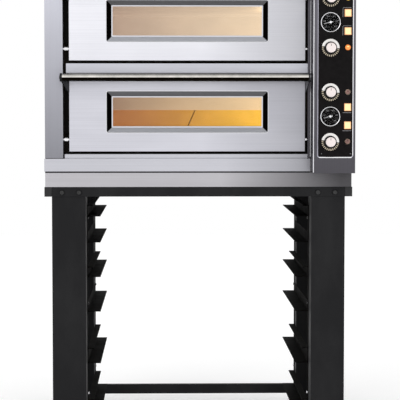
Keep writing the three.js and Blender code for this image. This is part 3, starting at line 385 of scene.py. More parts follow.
# painted light: the hearth stones glow faintly and the rear bricks strongly orange
stone = {"lower": firebrick("hearth_stone_lower", 0.16, (0.40, 0.17, 0.06), (0.98, 0.62, 0.16)),
         "upper": firebrick("hearth_stone_upper", 0.14, (0.47, 0.30, 0.16), (0.9, 0.7, 0.42))}
brick = firebrick("rear_brick", 0.90, (0.38, 0.135, 0.035), (0.98, 0.54, 0.035))
mortar = plastic("mortar", (0.10, 0.045, 0.018), (0.05, 0.022, 0.010), 0.9, 700.0, 0.05)
heater_metal = polished_steel("heater_metal", (0.30, 0.26, 0.22), (0.17, 0.14, 0.12), 0.5)
glass_pane = clear_glass("oven_glass", (0.62, 0.56, 0.48), 0.015)
dial_glass = clear_glass("dial_glass", (0.2, 0.2, 0.21), 0.01, 0.02)
lamp_glass = plastic("chamber_lamp_glass", (1.0, 0.9, 0.7), (1.0, 0.8, 0.5), 0.2, 900.0, 0.4, 0.9,
                     (1.0, 0.75, 0.35))
seal_cord = rope_seal("door_seal")

# ---------------------------------------------------------------- mesh helpers


def finish_object(name, bm, body, material, bevel=0.0, sharp=35.0):
    """Turns a bmesh into an object that rides on a body, shaded smooth up to the sharp angle."""
    bmesh.ops.recalc_face_normals(bm, faces=bm.faces)
    mesh = bpy.data.meshes.new(name)
    bm.to_mesh(mesh)
    bm.free()
    mesh.materials.append(material)
    mesh.shade_smooth()
    mesh.set_sharp_from_angle(angle=math.radians(sharp))
    obj = bpy.data.objects.new(name, mesh)
    bpy.context.scene.collection.objects.link(obj)
    if bevel:
        add_bevel(obj, bevel)
    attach(obj, body)
    return obj


def add_bevel(obj, width, segments=2):
    modifier = obj.modifiers.new("edge", "BEVEL")
    modifier.width = width
    modifier.segments = segments
    modifier.limit_method = "ANGLE"
    modifier.angle_limit = math.radians(40)


def aim(direction):
    """The turn that takes +Z to a direction."""
    return Vector(direction).to_track_quat("Z", "Y").to_matrix().to_4x4()


def add_lathe(bm, profile, segments, centre, direction=FRONT):
    """A turned solid in a bmesh: profile is [radius, height] pairs from the axis to the axis."""
    place = Matrix.Translation(centre) @ aim(direction)
    rings = []
    for radius, height in profile:
        if radius == 0:
            rings.append([bm.verts.new(place @ Vector((0, 0, height)))])
            continue
        ring = []
        for i in range(segments):
            angle = 2 * math.pi * i / segments
            point = Vector((radius * math.cos(angle), radius * math.sin(angle), height))
            ring.append(bm.verts.new(place @ point))
        rings.append(ring)
    for first, second in zip(rings, rings[1:]):
        for i in range(segments):
            j = (i + 1) % segments
            corners = [first[i % len(first)], first[j % len(first)],
                       second[j % len(second)], second[i % len(second)]]
            unique = list(dict.fromkeys(corners))
            if len(unique) > 2:
                bm.faces.new(unique)


def add_ring(bm, profile, segments, centre, direction=FRONT):
    """A turned ring: the profile of [radius, height] pairs is a closed loop off the axis."""
    place = Matrix.Translation(centre) @ aim(direction)
    rings = []
    for radius, height in profile:
        rings.append([bm.verts.new(place @ Vector((radius * math.cos(2 * math.pi * i / segments),
                                                   radius * math.sin(2 * math.pi * i / segments),
                                                   height))) for i in range(segments)])
    for k, first in enumerate(rings):
        second = rings[(k + 1) % len(rings)]
        for i in range(segments):
            j = (i + 1) % segments
            bm.faces.new([first[i], first[j], second[j], second[i]])


def add_box(bm, lowest, highest):
    place = Matrix.Translation((Vector(lowest) + Vector(highest)) / 2)
    size = Vector(highest) - Vector(lowest)
    bmesh.ops.create_cube(bm, size=1.0, matrix=place @ Matrix.Diagonal((*size, 1)))


def rounded_outline(centre_x, centre_z, width, height, radius, steps=6):
    points = []
    for sign_x, sign_z, start in ((1, -1, -90), (1, 1, 0), (-1, 1, 90), (-1, -1, 180)):
        for i in range(steps + 1):
            angle = math.radians(start + 90 * i / steps)
            points.append((centre_x + sign_x * (width / 2 - radius) + radius * math.cos(angle),
                           centre_z + sign_z * (height / 2 - radius) + radius * math.sin(angle)))
    return points


def add_frame(bm, outer, inner, front_y, rear_y):
    """A flat frame between two outlines in X and Z that have the same number of points."""
    loops = []
    for outline, y in ((outer, front_y), (inner, front_y), (inner, rear_y), (outer, rear_y)):
        loops.append([bm.verts.new((x, y, z)) for x, z in outline])
    count = len(outer)
    for k, first in enumerate(loops):
        second = loops[(k + 1) % 4]
        for i in range(count):
            j = (i + 1) % count
            bm.faces.new([first[i], first[j], second[j], second[i]])


def add_plate(bm, outline, front_y, rear_y):
    front = [bm.verts.new((x, front_y, z)) for x, z in outline]
    rear = [bm.verts.new((x, rear_y, z)) for x, z in outline]
    bm.faces.new(front)
    bm.faces.new(rear[::-1])
    for i, first in enumerate(front):
        j = (i + 1) % len(front)
        bm.faces.new([first, front[j], rear[j], rear[i]])


# ---------------------------------------------------------------- carried-over CAD nodes


def dress(node, material, bevel=0.0):
    """Gives a CAD node its material and, on sheet metal, softly rounded edges."""
    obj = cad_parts[node]
    obj.data.materials.clear()
    obj.data.materials.append(material)
    if bevel:
        weld = obj.modifiers.new("weld", "WELD")
        weld.merge_threshold = 0.00002
        add_bevel(obj, bevel)


STAND_NODES = [f"stand_leg_{row}_{side}" for row in ("front", "rear") for side in SIDES]
STAND_NODES += ["stand_beam_front", "stand_beam_rear", "stand_beam_left", "stand_beam_right"]
for node in STAND_NODES + ["stand_lower_crossbar"]:
    dress(node, paint_stand, 0.0008)
for side in SIDES:
    dress(f"tray_rack_{side}", rack_shade_paint)
    dress(f"stand_beam_{side}", paint_endcap, 0.0008)
dress("plinth", steel_plinth, 0.0006)
dress("base_panel", steel_base)
dress("left_casing", steel_side, 0.0010)
dress("right_casing", steel_column)
dress("back_cover", steel_back)
dress("top_cover", steel_case)
dress("deck_divider", steel_case)
dress("control_column", steel_column, 0.0006)
dress("control_fascia", fascia_black)
for deck in DECKS:
    dress(f"{deck}_chamber_liner", lining[deck])
    dress(f"{deck}_heating_element", sheath[deck])
    dress(f"{deck}_door_panel", upper_door_highlight_steel if deck == "upper" else steel_door, 0.0014)
    dress(f"{deck}_window_bezel", steel_bezel)
    dress(f"{deck}_window_glass", glass_pane)
    dress(f"{deck}_gauge_needle", needle_white)
    for side in SIDES:
        dress(f"{deck}_hearth_stone_{side}", stone[deck], 0.0015)
        dress(f"{deck}_handle_bracket_{side}", bracket_shaded_copy if side == "left" else steel_bracket, 0.0004)

# ---------------------------------------------------------------- stand details


def screw(bm, centre, radius, height, direction=FRONT, slot_width=0.0):
    """A pan head with a soft edge and, when slot_width is given, a round socket in its middle."""
    profile = [(0, -0.001), (radius, -0.001), (radius, height * 0.55), (radius * 0.84, height)]
    if slot_width:
        profile += [(slot_width, height), (slot_width * 0.9, height * 0.4), (0, height * 0.4)]
    else:
        profile += [(0, height)]
    add_lathe(bm, profile, 20, centre, direction)


BOLT_HALF_SPACING = 0.0312
beam_z = middle("stand_beam_front").z - 0.0025
beam_front = low("stand_beam_front").y
beam_rear = high("stand_beam_rear").y
leg_x = middle("stand_leg_front_right").x
bm = bmesh.new()
for sign in (-1, 1):
    for shift in (-BOLT_HALF_SPACING, BOLT_HALF_SPACING):
        x = sign * (leg_x - 0.0065) + shift
        screw(bm, (x, beam_front, beam_z), 0.0086, 0.0056, FRONT, 0.0040)
        screw(bm, (x, beam_rear, beam_z), 0.0086, 0.0056, REAR, 0.0040)
finish_object("stand_beam_bolts", bm, "root", bolt_black)

RACK_SCREW_HEIGHTS = (0.172, 0.51, 0.83)
BRIGHT_BELOW = 0.3                       # the rack screws below this height are bright steel, those above black
rack_face_x = abs(low("tray_rack_left").x) - 0.0024
bright, dark = bmesh.new(), bmesh.new()
for sign in (-1, 1):
    for z in RACK_SCREW_HEIGHTS:
        for y in (low("tray_rack_left").y + 0.009, high("tray_rack_left").y - 0.009):
            target = bright if z < BRIGHT_BELOW else dark
            screw(target, (sign * rack_face_x, y, z), 0.0052, 0.003, (-sign, 0, 0), 0.0024)
finish_object("rack_lower_screws", bright, "root", steel_bright)
finish_object("rack_upper_screws", dark, "root", bolt_black)

bm = bmesh.new()
for sign in (-1, 1):
    for y in (low("stand_leg_front_left").y + 0.06, high("stand_leg_rear_left").y - 0.06):
        for shift in (-0.03, 0.03):
            centre = (sign * (abs(low("stand_leg_front_left").x) + 0.0268), y + shift, beam_z)
            screw(bm, centre, 0.0065, 0.0022, Vector((sign, 0, 0)), 0.003)
finish_object("side_beam_bolts", bm, "root", bolt_black)

# ---------------------------------------------------------------- casing details

column_x = (low("control_column").x, high("control_column").x)
column_front = low("control_column").y
column_rear = high("control_column").y
fascia_low, fascia_high = low("control_fascia"), high("control_fascia")

fascia = (fascia_low + fascia_high) / 2
trim = (fascia_high.x - fascia_low.x, fascia_high.z - fascia_low.z)
bm = bmesh.new()
add_frame(bm, rounded_outline(fascia.x, fascia.z, trim[0] + 0.0076, trim[1] + 0.0096, 0.0100),
          rounded_outline(fascia.x, fascia.z, trim[0] - 0.0004, trim[1] - 0.0004, 0.0062),
          column_front - 0.0022, column_front + 0.0006)
finish_object("fascia_trim", bm, "root", trim_steel, 0.0012)
bm = bmesh.new()
lip_z, lip_reach = fascia_low.z - 0.0026, trim[0] - 0.010
add_lathe(bm, [(0, -0.0030), (0.0018, -0.0022), (0.0025, 0), (0.0025, lip_reach),
               (0.0018, lip_reach + 0.0022), (0, lip_reach + 0.0030)],
          16, (fascia_low.x + 0.005, column_front - 0.0018, lip_z), (1, 0, 0))
finish_object("fascia_lower_lip", bm, "root", steel_bright)

# painted highlights: thin bright rods along the column's left edge, the fascia's right edge and the jamb's
# right edge
bm = bmesh.new()
jamb = high("right_casing")
for x, y, bottom, top, radius in (
    (column_x[0] + 0.0012, column_front + 0.0012, PLINTH_TOP + 0.002, TOP_Z - 0.001, 0.0018),
    (fascia_high.x + 0.0012, column_front - 0.0012, fascia_low.z + 0.003, fascia_high.z - 0.003, 0.0017),
    (jamb.x - 0.0012, FRONT_Y + 0.0006, low("right_casing").z + 0.004, jamb.z - 0.002, 0.0012),
):
    add_lathe(bm, [(0, 0), (radius, 0.001), (radius, top - bottom - 0.001), (0, top - bottom)], 14,
              (x, y, bottom), (0, 0, 1))
finish_object("column_painted_highlights", bm, "root", steel_bright)

bm = bmesh.new()
for x in (fascia_low.x + 0.0125, fascia_high.x - 0.007):
    for z in (fascia_low.z + 0.011, fascia_high.z - 0.011):
        screw(bm, (x, FASCIA_Y, z), 0.0024, 0.0014, FRONT, 0.0010)
finish_object("fascia_screws", bm, "root", steel_bracket)

# painted shadow: a black strip in the seam between the plinth and the base panel
bm = bmesh.new()
seam = (high("plinth").z + 0.0003, low("base_panel").z + 0.0030)
add_box(bm, (low("base_panel").x + 0.003, FRONT_Y - 0.0005, seam[0] - 0.0014),
        (high("base_panel").x - 0.001, FRONT_Y + 0.006, seam[1] + 0.0008))
finish_object("plinth_seam_painted_shadow", bm, "root", black_plastic)

# screws of the left, right and back covers
case_low, case_high = low("left_casing"), high("left_casing")
back_y = high("back_cover").y
cover_low, cover_high = low("back_cover"), high("back_cover")
bm = bmesh.new()
for i in range(5):
    y = case_low.y + 0.05 + i * 0.192
    for z in (case_low.z + 0.02, case_high.z - 0.02):
        screw(bm, (case_low.x, y, z), 0.0045, 0.002, Vector((-1, 0, 0)), 0.002)
for i in range(4):
    z = PLINTH_TOP + 0.06 + i * 0.2
    screw(bm, (column_x[1], column_rear - 0.02, z), 0.0045, 0.002, Vector((1, 0, 0)), 0.002)
for i in range(6):
    x = cover_low.x + 0.02 + i * (cover_high.x - cover_low.x - 0.04) / 5
    for z in (cover_low.z + 0.015, cover_high.z - 0.015):
        screw(bm, (x, back_y, z), 0.0045, 0.002, REAR, 0.002)
for i in range(3):
    for x in (cover_low.x + 0.02, cover_high.x - 0.02):
        screw(bm, (x, back_y, cover_low.z + 0.19 * (i + 1)), 0.0045, 0.002, REAR, 0.002)
finish_object("cover_screws", bm, "root", steel_bright)


def add_louvre(bm, centre, along, outward, length, drop, rise):
    """A pressed hood: a half-round shell that stands out of the sheet and is open below."""
    along, outward, up = Vector(along), Vector(outward), Vector((0, 0, 1))
    rings = []
    for t in (-0.5, -0.42, 0.42, 0.5):
        swell = 0.15 if abs(t) == 0.5 else 1.0
        ring = []
        for i in range(7):
            angle = math.radians(90 * i / 6)
            out = outward * rise * math.cos(angle) * swell
            ring.append(bm.verts.new(Vector(centre) + along * length * t + out + up * drop * math.sin(angle)))
        ring.append(bm.verts.new(Vector(centre) + along * length * t - outward * 0.001 + up * drop))
        ring.append(bm.verts.new(Vector(centre) + along * length * t - outward * 0.001))
        rings.append(ring)
    for first, second in zip(rings, rings[1:]):
        for i in range(9):
            j = (i + 1) % 9
            bm.faces.new([first[i], second[i], second[j], first[j]])
    bm.faces.new(rings[0])
    bm.faces.new(rings[-1][::-1])


# each louvre is its centre, its run, the way it faces and its length
LEFT_PITCH, BACK_PITCH = 0.022, 0.024    # between the rows; the right side has the back's
LOUVRE_DROP, LOUVRE_RISE = 0.0105, 0.0028
louvres = [((case_low.x, y, case_low.z + 0.50 + row * LEFT_PITCH), (0, 1, 0), (-1, 0, 0), 0.15)
           for row in range(8) for y in (-0.05, 0.16)]
louvres += [((x, back_y, cover_low.z + 0.52 + row * BACK_PITCH), (1, 0, 0), (0, 1, 0), 0.20)
            for row in range(7) for x in (-0.36, 0.36)]
louvres += [((column_x[1], 0.30, PLINTH_TOP + 0.08 + row * BACK_PITCH), (0, 1, 0), (1, 0, 0), 0.14)
            for row in range(10)]
bm, hood_shadows = bmesh.new(), bmesh.new()
for centre, along, outward, length in louvres:
    add_louvre(bm, centre, along, outward, length, LOUVRE_DROP, LOUVRE_RISE)
    # painted shadow: a thin black strip under each hood
    reach = Vector(along) * length * 0.45
    corners = [Vector(centre) - reach - Vector(outward) * 0.0005 - Vector((0, 0, 0.0034)),
               Vector(centre) + reach + Vector(outward) * 0.0003 + Vector((0, 0, 0.0004))]
    add_box(hood_shadows, [min(c) for c in zip(*corners)], [max(c) for c in zip(*corners)])
finish_object("cover_louvres", bm, "root", steel_case)
finish_object("louvre_painted_shadows", hood_shadows, "root", black_plastic)

# a blanked supply entry with its clamp nut and an earth stud, low on the back
bm = bmesh.new()
entry = Vector((cover_high.x - 0.08, back_y, cover_low.z + 0.07))
add_lathe(bm, [(0, -0.001), (0.024, -0.001), (0.024, 0.0015), (0.019, 0.0032), (0.019, 0.0075),
               (0.0165, 0.0095), (0.012, 0.0095), (0.012, 0.006), (0, 0.006)], 32, entry, REAR)
finish_object("supply_entry", bm, "root", black_plastic, 0.0004)
bm = bmesh.new()
add_lathe(bm, [(0, -0.001), (0.0075, -0.001), (0.0075, 0.002), (0.003, 0.0022), (0.003, 0.0085),
               (0.0022, 0.0095), (0, 0.0095)], 20, entry - Vector((0.075, 0, 0)), REAR)
finish_object("earth_stud", bm, "root", steel_bright)
bm = bmesh.new()
add_box(bm, entry + Vector((-0.24, -0.0004, -0.022)), entry + Vector((-0.13, 0.0009, 0.03)))
finish_object("blank_data_plate", bm, "root", steel_column, 0.0006)

# ---------------------------------------------------------------- controls

BRIGHT_SPAN = (-4, 168)                  # degrees from +X of the plain part of a knob's skirt
SCALE_SPAN = (168, 356)                  # and of the part that carries the marks
SKIRT_INNER = 0.0215
SCALE_FROM, SCALE_TO = 223, -42          # degrees, from +X, of the gauge's first and last mark
GAUGE_MARKS = 10                         # steps of 50 degrees of heat; every second one is numbered


def polar(centre, degrees, radius, y):
    angle = math.radians(degrees)
    return Vector((centre.x + radius * math.cos(angle), y, centre.z + radius * math.sin(angle)))


def add_mark(bm, centre, degrees, start, end, width, front_y, rear_y):
    """A straight printed or engraved mark that points away from the centre."""
    angle = math.radians(degrees)
    along = Vector((math.cos(angle), 0, math.sin(angle)))
    across = Vector((-along.z, 0, along.x)) * width / 2
    outline = [centre + along * start - across, centre + along * end - across,
               centre + along * end + across, centre + along * start + across]
    add_plate(bm, [(p.x, p.z) for p in outline], front_y, rear_y)


def add_numeral(bm, text, size, place, front_y, depth):
    """A numeral as a thin raised solid whose middle is at place."""
    curve = bpy.data.curves.new("numeral", "FONT")
    curve.body = text
    curve.size = size
    curve.align_x = "CENTER"
    curve.align_y = "CENTER"
    curve.extrude = depth / 2
    curve.resolution_u = 2
    holder = bpy.data.objects.new("numeral", curve)
    mesh = holder.to_mesh()
    turn = Matrix.Translation((place.x, front_y, place.z)) @ Matrix.Rotation(math.radians(90), 4, "X")
    mesh.transform(turn)
    bm.from_mesh(mesh)
    holder.to_mesh_clear()
    bpy.data.objects.remove(holder)
    bpy.data.curves.remove(curve)


def add_sector(bm, face, span, radii, heights, steps):
    """Part of a flat ring round an axis along Y. Its lengths run from the face towards the front."""
    rings = []
    for i in range(steps + 1):
        angle = math.radians(span[0] + (span[1] - span[0]) * i / steps)
        corners = [(radii[0], heights[0]), (radii[1], heights[0]),
                   (radii[1], heights[1]), (radii[0], heights[1])]
        rings.append([bm.verts.new((face.x + r * math.cos(angle), face.y - h, face.z + r * math.sin(angle)))
                      for r, h in corners])
    for first, second in zip(rings, rings[1:]):
        for k in range(4):
            bm.faces.new([first[k], second[k], second[(k + 1) % 4], first[(k + 1) % 4]])
    bm.faces.new(rings[0])
    bm.faces.new(rings[-1][::-1])


def heat_knob(deck, place):
    """A skirt that is bright above and marked below, a fluted black collar, a cap and a pointer."""
    node = f"{deck}_{place}_heat_knob"
    body = f"{deck}_{place}_knob"
    centre = middle(node)
    face = Vector((centre.x, FASCIA_Y, centre.z))
    radius = (high(node).x - low(node).x) / 2
    reach = FASCIA_Y - low(node).y
    bm = bmesh.new()
    add_sector(bm, face, BRIGHT_SPAN, (SKIRT_INNER, radius), (0.0008, 0.0072), 36)
    skirt = finish_object(f"{node}_skirt", bm, body, skirt_steel, 0.0008, 50)
    bm = bmesh.new()
    add_sector(bm, face, SCALE_SPAN, (SKIRT_INNER, radius - 0.0012), (0.0008, 0.0060), 36)
    finish_object(f"{node}_scale_ring", bm, body, black_plastic, 0.0005)
    bm = bmesh.new()
    marks = 13
    first_mark, step = SCALE_SPAN[0] + 2, (SCALE_SPAN[1] - SCALE_SPAN[0] - 4) / marks
    for i in range(marks):
        span = (first_mark + step * (i + 0.14), first_mark + step * (i + 0.66))
        add_sector(bm, face, span, (0.0246, radius - 0.0004), (0.0030, 0.0070), 3)
    finish_object(f"{node}_scale", bm, body, scale_brass, 0.0003)
    bm = bmesh.new()
    profile = [(0, 0.0008), (0.0225, 0.0008), (0.0225, 0.0090), (0.0218, 0.0105), (0.0212, reach - 0.0065),
               (0.0196, reach - 0.0045), (0, reach - 0.0045)]
    add_lathe(bm, profile, 48, face)
    for i in range(24):
        angle = 2 * math.pi * i / 24
        rib = face + Vector((0.0208 * math.cos(angle), 0, 0.0208 * math.sin(angle)))
        add_lathe(bm, [(0, 0.0105), (0.0011, 0.0108), (0.0009, reach - 0.0075), (0, reach - 0.0072)], 6, rib)
    finish_object(f"{node}_collar", bm, body, black_plastic, 0, 30)
    bm = bmesh.new()
    add_lathe(bm, [(0, reach - 0.0080), (0.0178, reach - 0.0080), (0.0178, reach - 0.0016),
                   (0.0168, reach - 0.0004), (0.0150, reach), (0.0142, reach - 0.0008), (0, reach - 0.0008)],
              56, face)
    finish_object(f"{node}_cap", bm, body, knob_cap, 0, 30)
    bm = bmesh.new()
    add_mark(bm, face, 90, 0.0060, 0.0138, 0.0014, FASCIA_Y - reach + 0.00055, FASCIA_Y - reach + 0.002)
    finish_object(f"{node}_pointer", bm, body, black_plastic)
    bm = bmesh.new()
    add_lathe(bm, [(0, -0.0130), (0.0030, -0.0130), (0.0030, 0.0010), (0, 0.0010)], 16, face)
    finish_object(f"{node}_spindle", bm, body, steel_bright)
    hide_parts(node)


def thermometer(deck):
    """Chromed rim, black dial with plain numbers, needle hub and a domed glass."""
    node = f"{deck}_gauge_body"
    centre = middle(node)
    radius = (high(node).x - low(node).x) / 2
    front_y, rear_y = low(node).y, high(node).y
    depth = FASCIA_Y - front_y
    face = Vector((centre.x, FASCIA_Y, centre.z))
    bm = bmesh.new()
    add_ring(bm, [(radius - 0.0050, 0.0006), (radius - 0.0002, 0.0006), (radius, 0.0016),
                  (radius - 0.0010, depth - 0.0012), (radius - 0.0022, depth),
                  (radius - 0.0036, depth - 0.0006), (radius - 0.0048, depth - 0.0022)], 72, face)
    rim = finish_object(f"{node}_rim", bm, "root", steel_bright, 0, 50)
    bm = bmesh.new()
    add_lathe(bm, [(0, -(rear_y - FASCIA_Y)), (radius - 0.010, -(rear_y - FASCIA_Y)),
                   (radius - 0.007, -0.020), (radius - 0.007, 0.0006), (radius - 0.0046, 0.0007),
                   (radius - 0.0046, 0.0012), (0, 0.0012)], 64, face)
    finish_object(f"{node}_dial", bm, "root", dial_black)
    dial_y = FASCIA_Y - 0.0012
    bm = bmesh.new()
    for i in range(GAUGE_MARKS + 1):
        degrees = SCALE_FROM + (SCALE_TO - SCALE_FROM) * i / GAUGE_MARKS
        major = i % 2 == 0
        add_mark(bm, face, degrees, radius - (0.0100 if major else 0.0080), radius - 0.0062,
                 0.0007 if major else 0.0004, dial_y - 0.0002, dial_y + 0.0004)
    for i in range(0, GAUGE_MARKS + 1, 2):
        degrees = SCALE_FROM + (SCALE_TO - SCALE_FROM) * i / GAUGE_MARKS
        spot = polar(face, degrees, radius - 0.0142, 0)
        add_numeral(bm, str(i * 50), 0.0064, spot, dial_y - 0.0001, 0.0005)
    finish_object(f"{node}_numbers", bm, "root", print_dim)
    bm = bmesh.new()
    add_lathe(bm, [(0, 0.0028), (0.0042, 0.0028), (0.0042, 0.0042), (0.0030, 0.0052), (0, 0.0055)], 24, face)
    finish_object(f"{deck}_gauge_hub", bm, f"{deck}_needle", needle_white)
    bm = bmesh.new()
    add_lathe(bm, [(0, depth - 0.0034), (radius - 0.0040, depth - 0.0034), (radius - 0.0040, depth - 0.0026),
                   (radius * 0.6, depth - 0.0018), (0, depth - 0.0014)], 64, face)
    finish_object(f"{node}_glass", bm, "root", dial_glass)
    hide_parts(node)


def indicator(deck, place, lit):
    """A domed lens in a thin collar. A lit lamp has a brighter core, and its collar glows too."""
    node = f"{deck}_{place}_heat_lamp"
    centre = middle(node)
    face = Vector((centre.x, FASCIA_Y, centre.z))
    radius = (high(node).x - low(node).x) / 2
    depth = FASCIA_Y - low(node).y
    rear = -(high(node).y - FASCIA_Y)
    bm = bmesh.new()
    add_lathe(bm, [(0, rear), (radius * 0.62, rear), (radius * 0.62, 0.0004), (radius * 0.90, 0.0006),
                   (radius * 0.90, depth * 0.42), (radius * 0.78, depth * 0.74),
                   (radius * 0.46, depth * 0.95), (0, depth)], 40, face)
    lens = finish_object(f"{node}_lens", bm, "root", lit or lamp_off)
    bm = bmesh.new()
    add_ring(bm, [(radius * 0.89, 0.0004), (radius, 0.0004), (radius, 0.0014), (radius * 0.95, 0.0022),
                  (radius * 0.89, 0.0022)], 40, face)
    finish_object(f"{node}_collar", bm, "root", lit or scale_brass)
    bm = bmesh.new()
    core = Vector((face.x, face.y, face.z + radius * 0.12))
    add_lathe(bm, [(0, depth * 0.80), (radius * 0.44, depth * 0.80), (radius * 0.36, depth * 0.96),
                   (0, depth * 0.99)], 32, core)
    finish_object(f"{node}_core", bm, "root", lamp_lit_core if lit else lamp_off_core)
    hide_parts(node)


def rocker_plastic(node):
    """Lit cap: pale yellow in the middle and orange towards its edges."""
    material, tree, shader = new_material(f"{node}_plastic")
    centre, half = middle(node), (high(node) - low(node)) / 2
    reach = []
    for axis, size in (("X", half.x), ("Z", half.z)):
        place = object_axis(tree, axis)
        from_middle = math_node(tree, "SUBTRACT", place, getattr(centre, axis.lower()))
        from_middle = math_node(tree, "ABSOLUTE", from_middle, 0)
        reach.append(math_node(tree, "DIVIDE", from_middle, size))
    edge = math_node(tree, "MAXIMUM", *reach)
    mottled = noise(tree, (120, 120, 120), 1.0, 3.0, 0.5)
    edge = math_node(tree, "ADD", edge, ramp(tree, mottled, 0.3, -0.05, 0.7, 0.05))
    factor = ramp(tree, edge, 0.66, 0.0, 1.02, 1.0)
    tree.links.new(tinted(tree, factor, (0.26, 0.23, 0.13), (0.22, 0.08, 0.03)),
                   shader.inputs["Base Color"])
    tree.links.new(tinted(tree, factor, (1.0, 0.95, 0.45), (1.0, 0.40, 0.20)),
                   shader.inputs["Emission Color"])
    shader.inputs["Emission Strength"].default_value = 0.80
    shader.inputs["Roughness"].default_value = 0.28
    return material


def rocker_switch(deck, place):
    """The CAD rocker in its lit plastic, with a frame round it and a printed line beside it."""
    node = f"{deck}_{place}_rocker"
    dress(node, rocker_plastic(node), 0.0006)
    centre = middle(node)
    half = (high(node) - low(node)) / 2
    outer = rounded_outline(centre.x, centre.z, 2 * half.x + 0.0050, 2 * half.z + 0.0084, 0.0022)
    inner = rounded_outline(centre.x, centre.z, 2 * half.x + 0.0010, 2 * half.z + 0.0044, 0.0008)
    bm = bmesh.new()
    add_frame(bm, outer, inner, FASCIA_Y - 0.0022, FASCIA_Y + 0.0004)
    finish_object(f"{node}_frame", bm, "root", black_plastic, 0.0005)
    bm = bmesh.new()
    printed = (FASCIA_Y - 0.0004, FASCIA_Y + 0.0003)
    if deck == "lower":                  # a line below the switch
        line_z = centre.z - 0.0197
        add_box(bm, (centre.x - 0.0175, printed[0], line_z - 0.0008),
                (centre.x + 0.0130, printed[1], line_z + 0.0008))
    else:                                # a line round its upper left corner
        corner, half_width = 0.0045, 0.0007
        left, top = centre.x - 0.0192, centre.z + 0.0196
        path = [(left, centre.z - 0.0150)]
        for i in range(7):
            angle = math.radians(180 - 15 * i)
            path.append((left + corner + corner * math.cos(angle), top - corner + corner * math.sin(angle)))
        path.append((centre.x + 0.0115, top))
        inner_path = [(left + 2 * half_width, path[0][1])]
        inner_path += [(left + corner + (x - left - corner) * 0.73, top - corner + (z - top + corner) * 0.73)
                       for x, z in path[1:-1]]
        inner_path.append((path[-1][0], top - 2 * half_width))
        for k in range(len(path) - 1):
            add_plate(bm, [path[k], path[k + 1], inner_path[k + 1], inner_path[k]], *printed)
    finish_object(f"{node}_label_line", bm, "root", print_grey)


skirt_steel = polished_steel("knob_skirt", (0.92, 0.90, 0.88), (0.62, 0.58, 0.54), 0.24)
scale_brass = polished_steel("scale_brass", (0.62, 0.54, 0.42), (0.24, 0.19, 0.12), 0.35)
lamp_yellow = plastic("lamp_yellow", (0.35, 0.25, 0.06), (0.3, 0.2, 0.04), 0.18, 900.0, 0.4, 0.9,
                      (1.0, 0.62, 0.10))
for deck in DECKS:
    heat_knob(deck, "top")
    heat_knob(deck, "bottom")
    thermometer(deck)
    rocker_switch(deck, "power")
    rocker_switch(deck, "light")
indicator("upper", "bottom", lamp_lit)
indicator("upper", "top", lamp_yellow)
indicator("lower", "bottom", None)
indicator("lower", "top", None)

# ---------------------------------------------------------------- doors

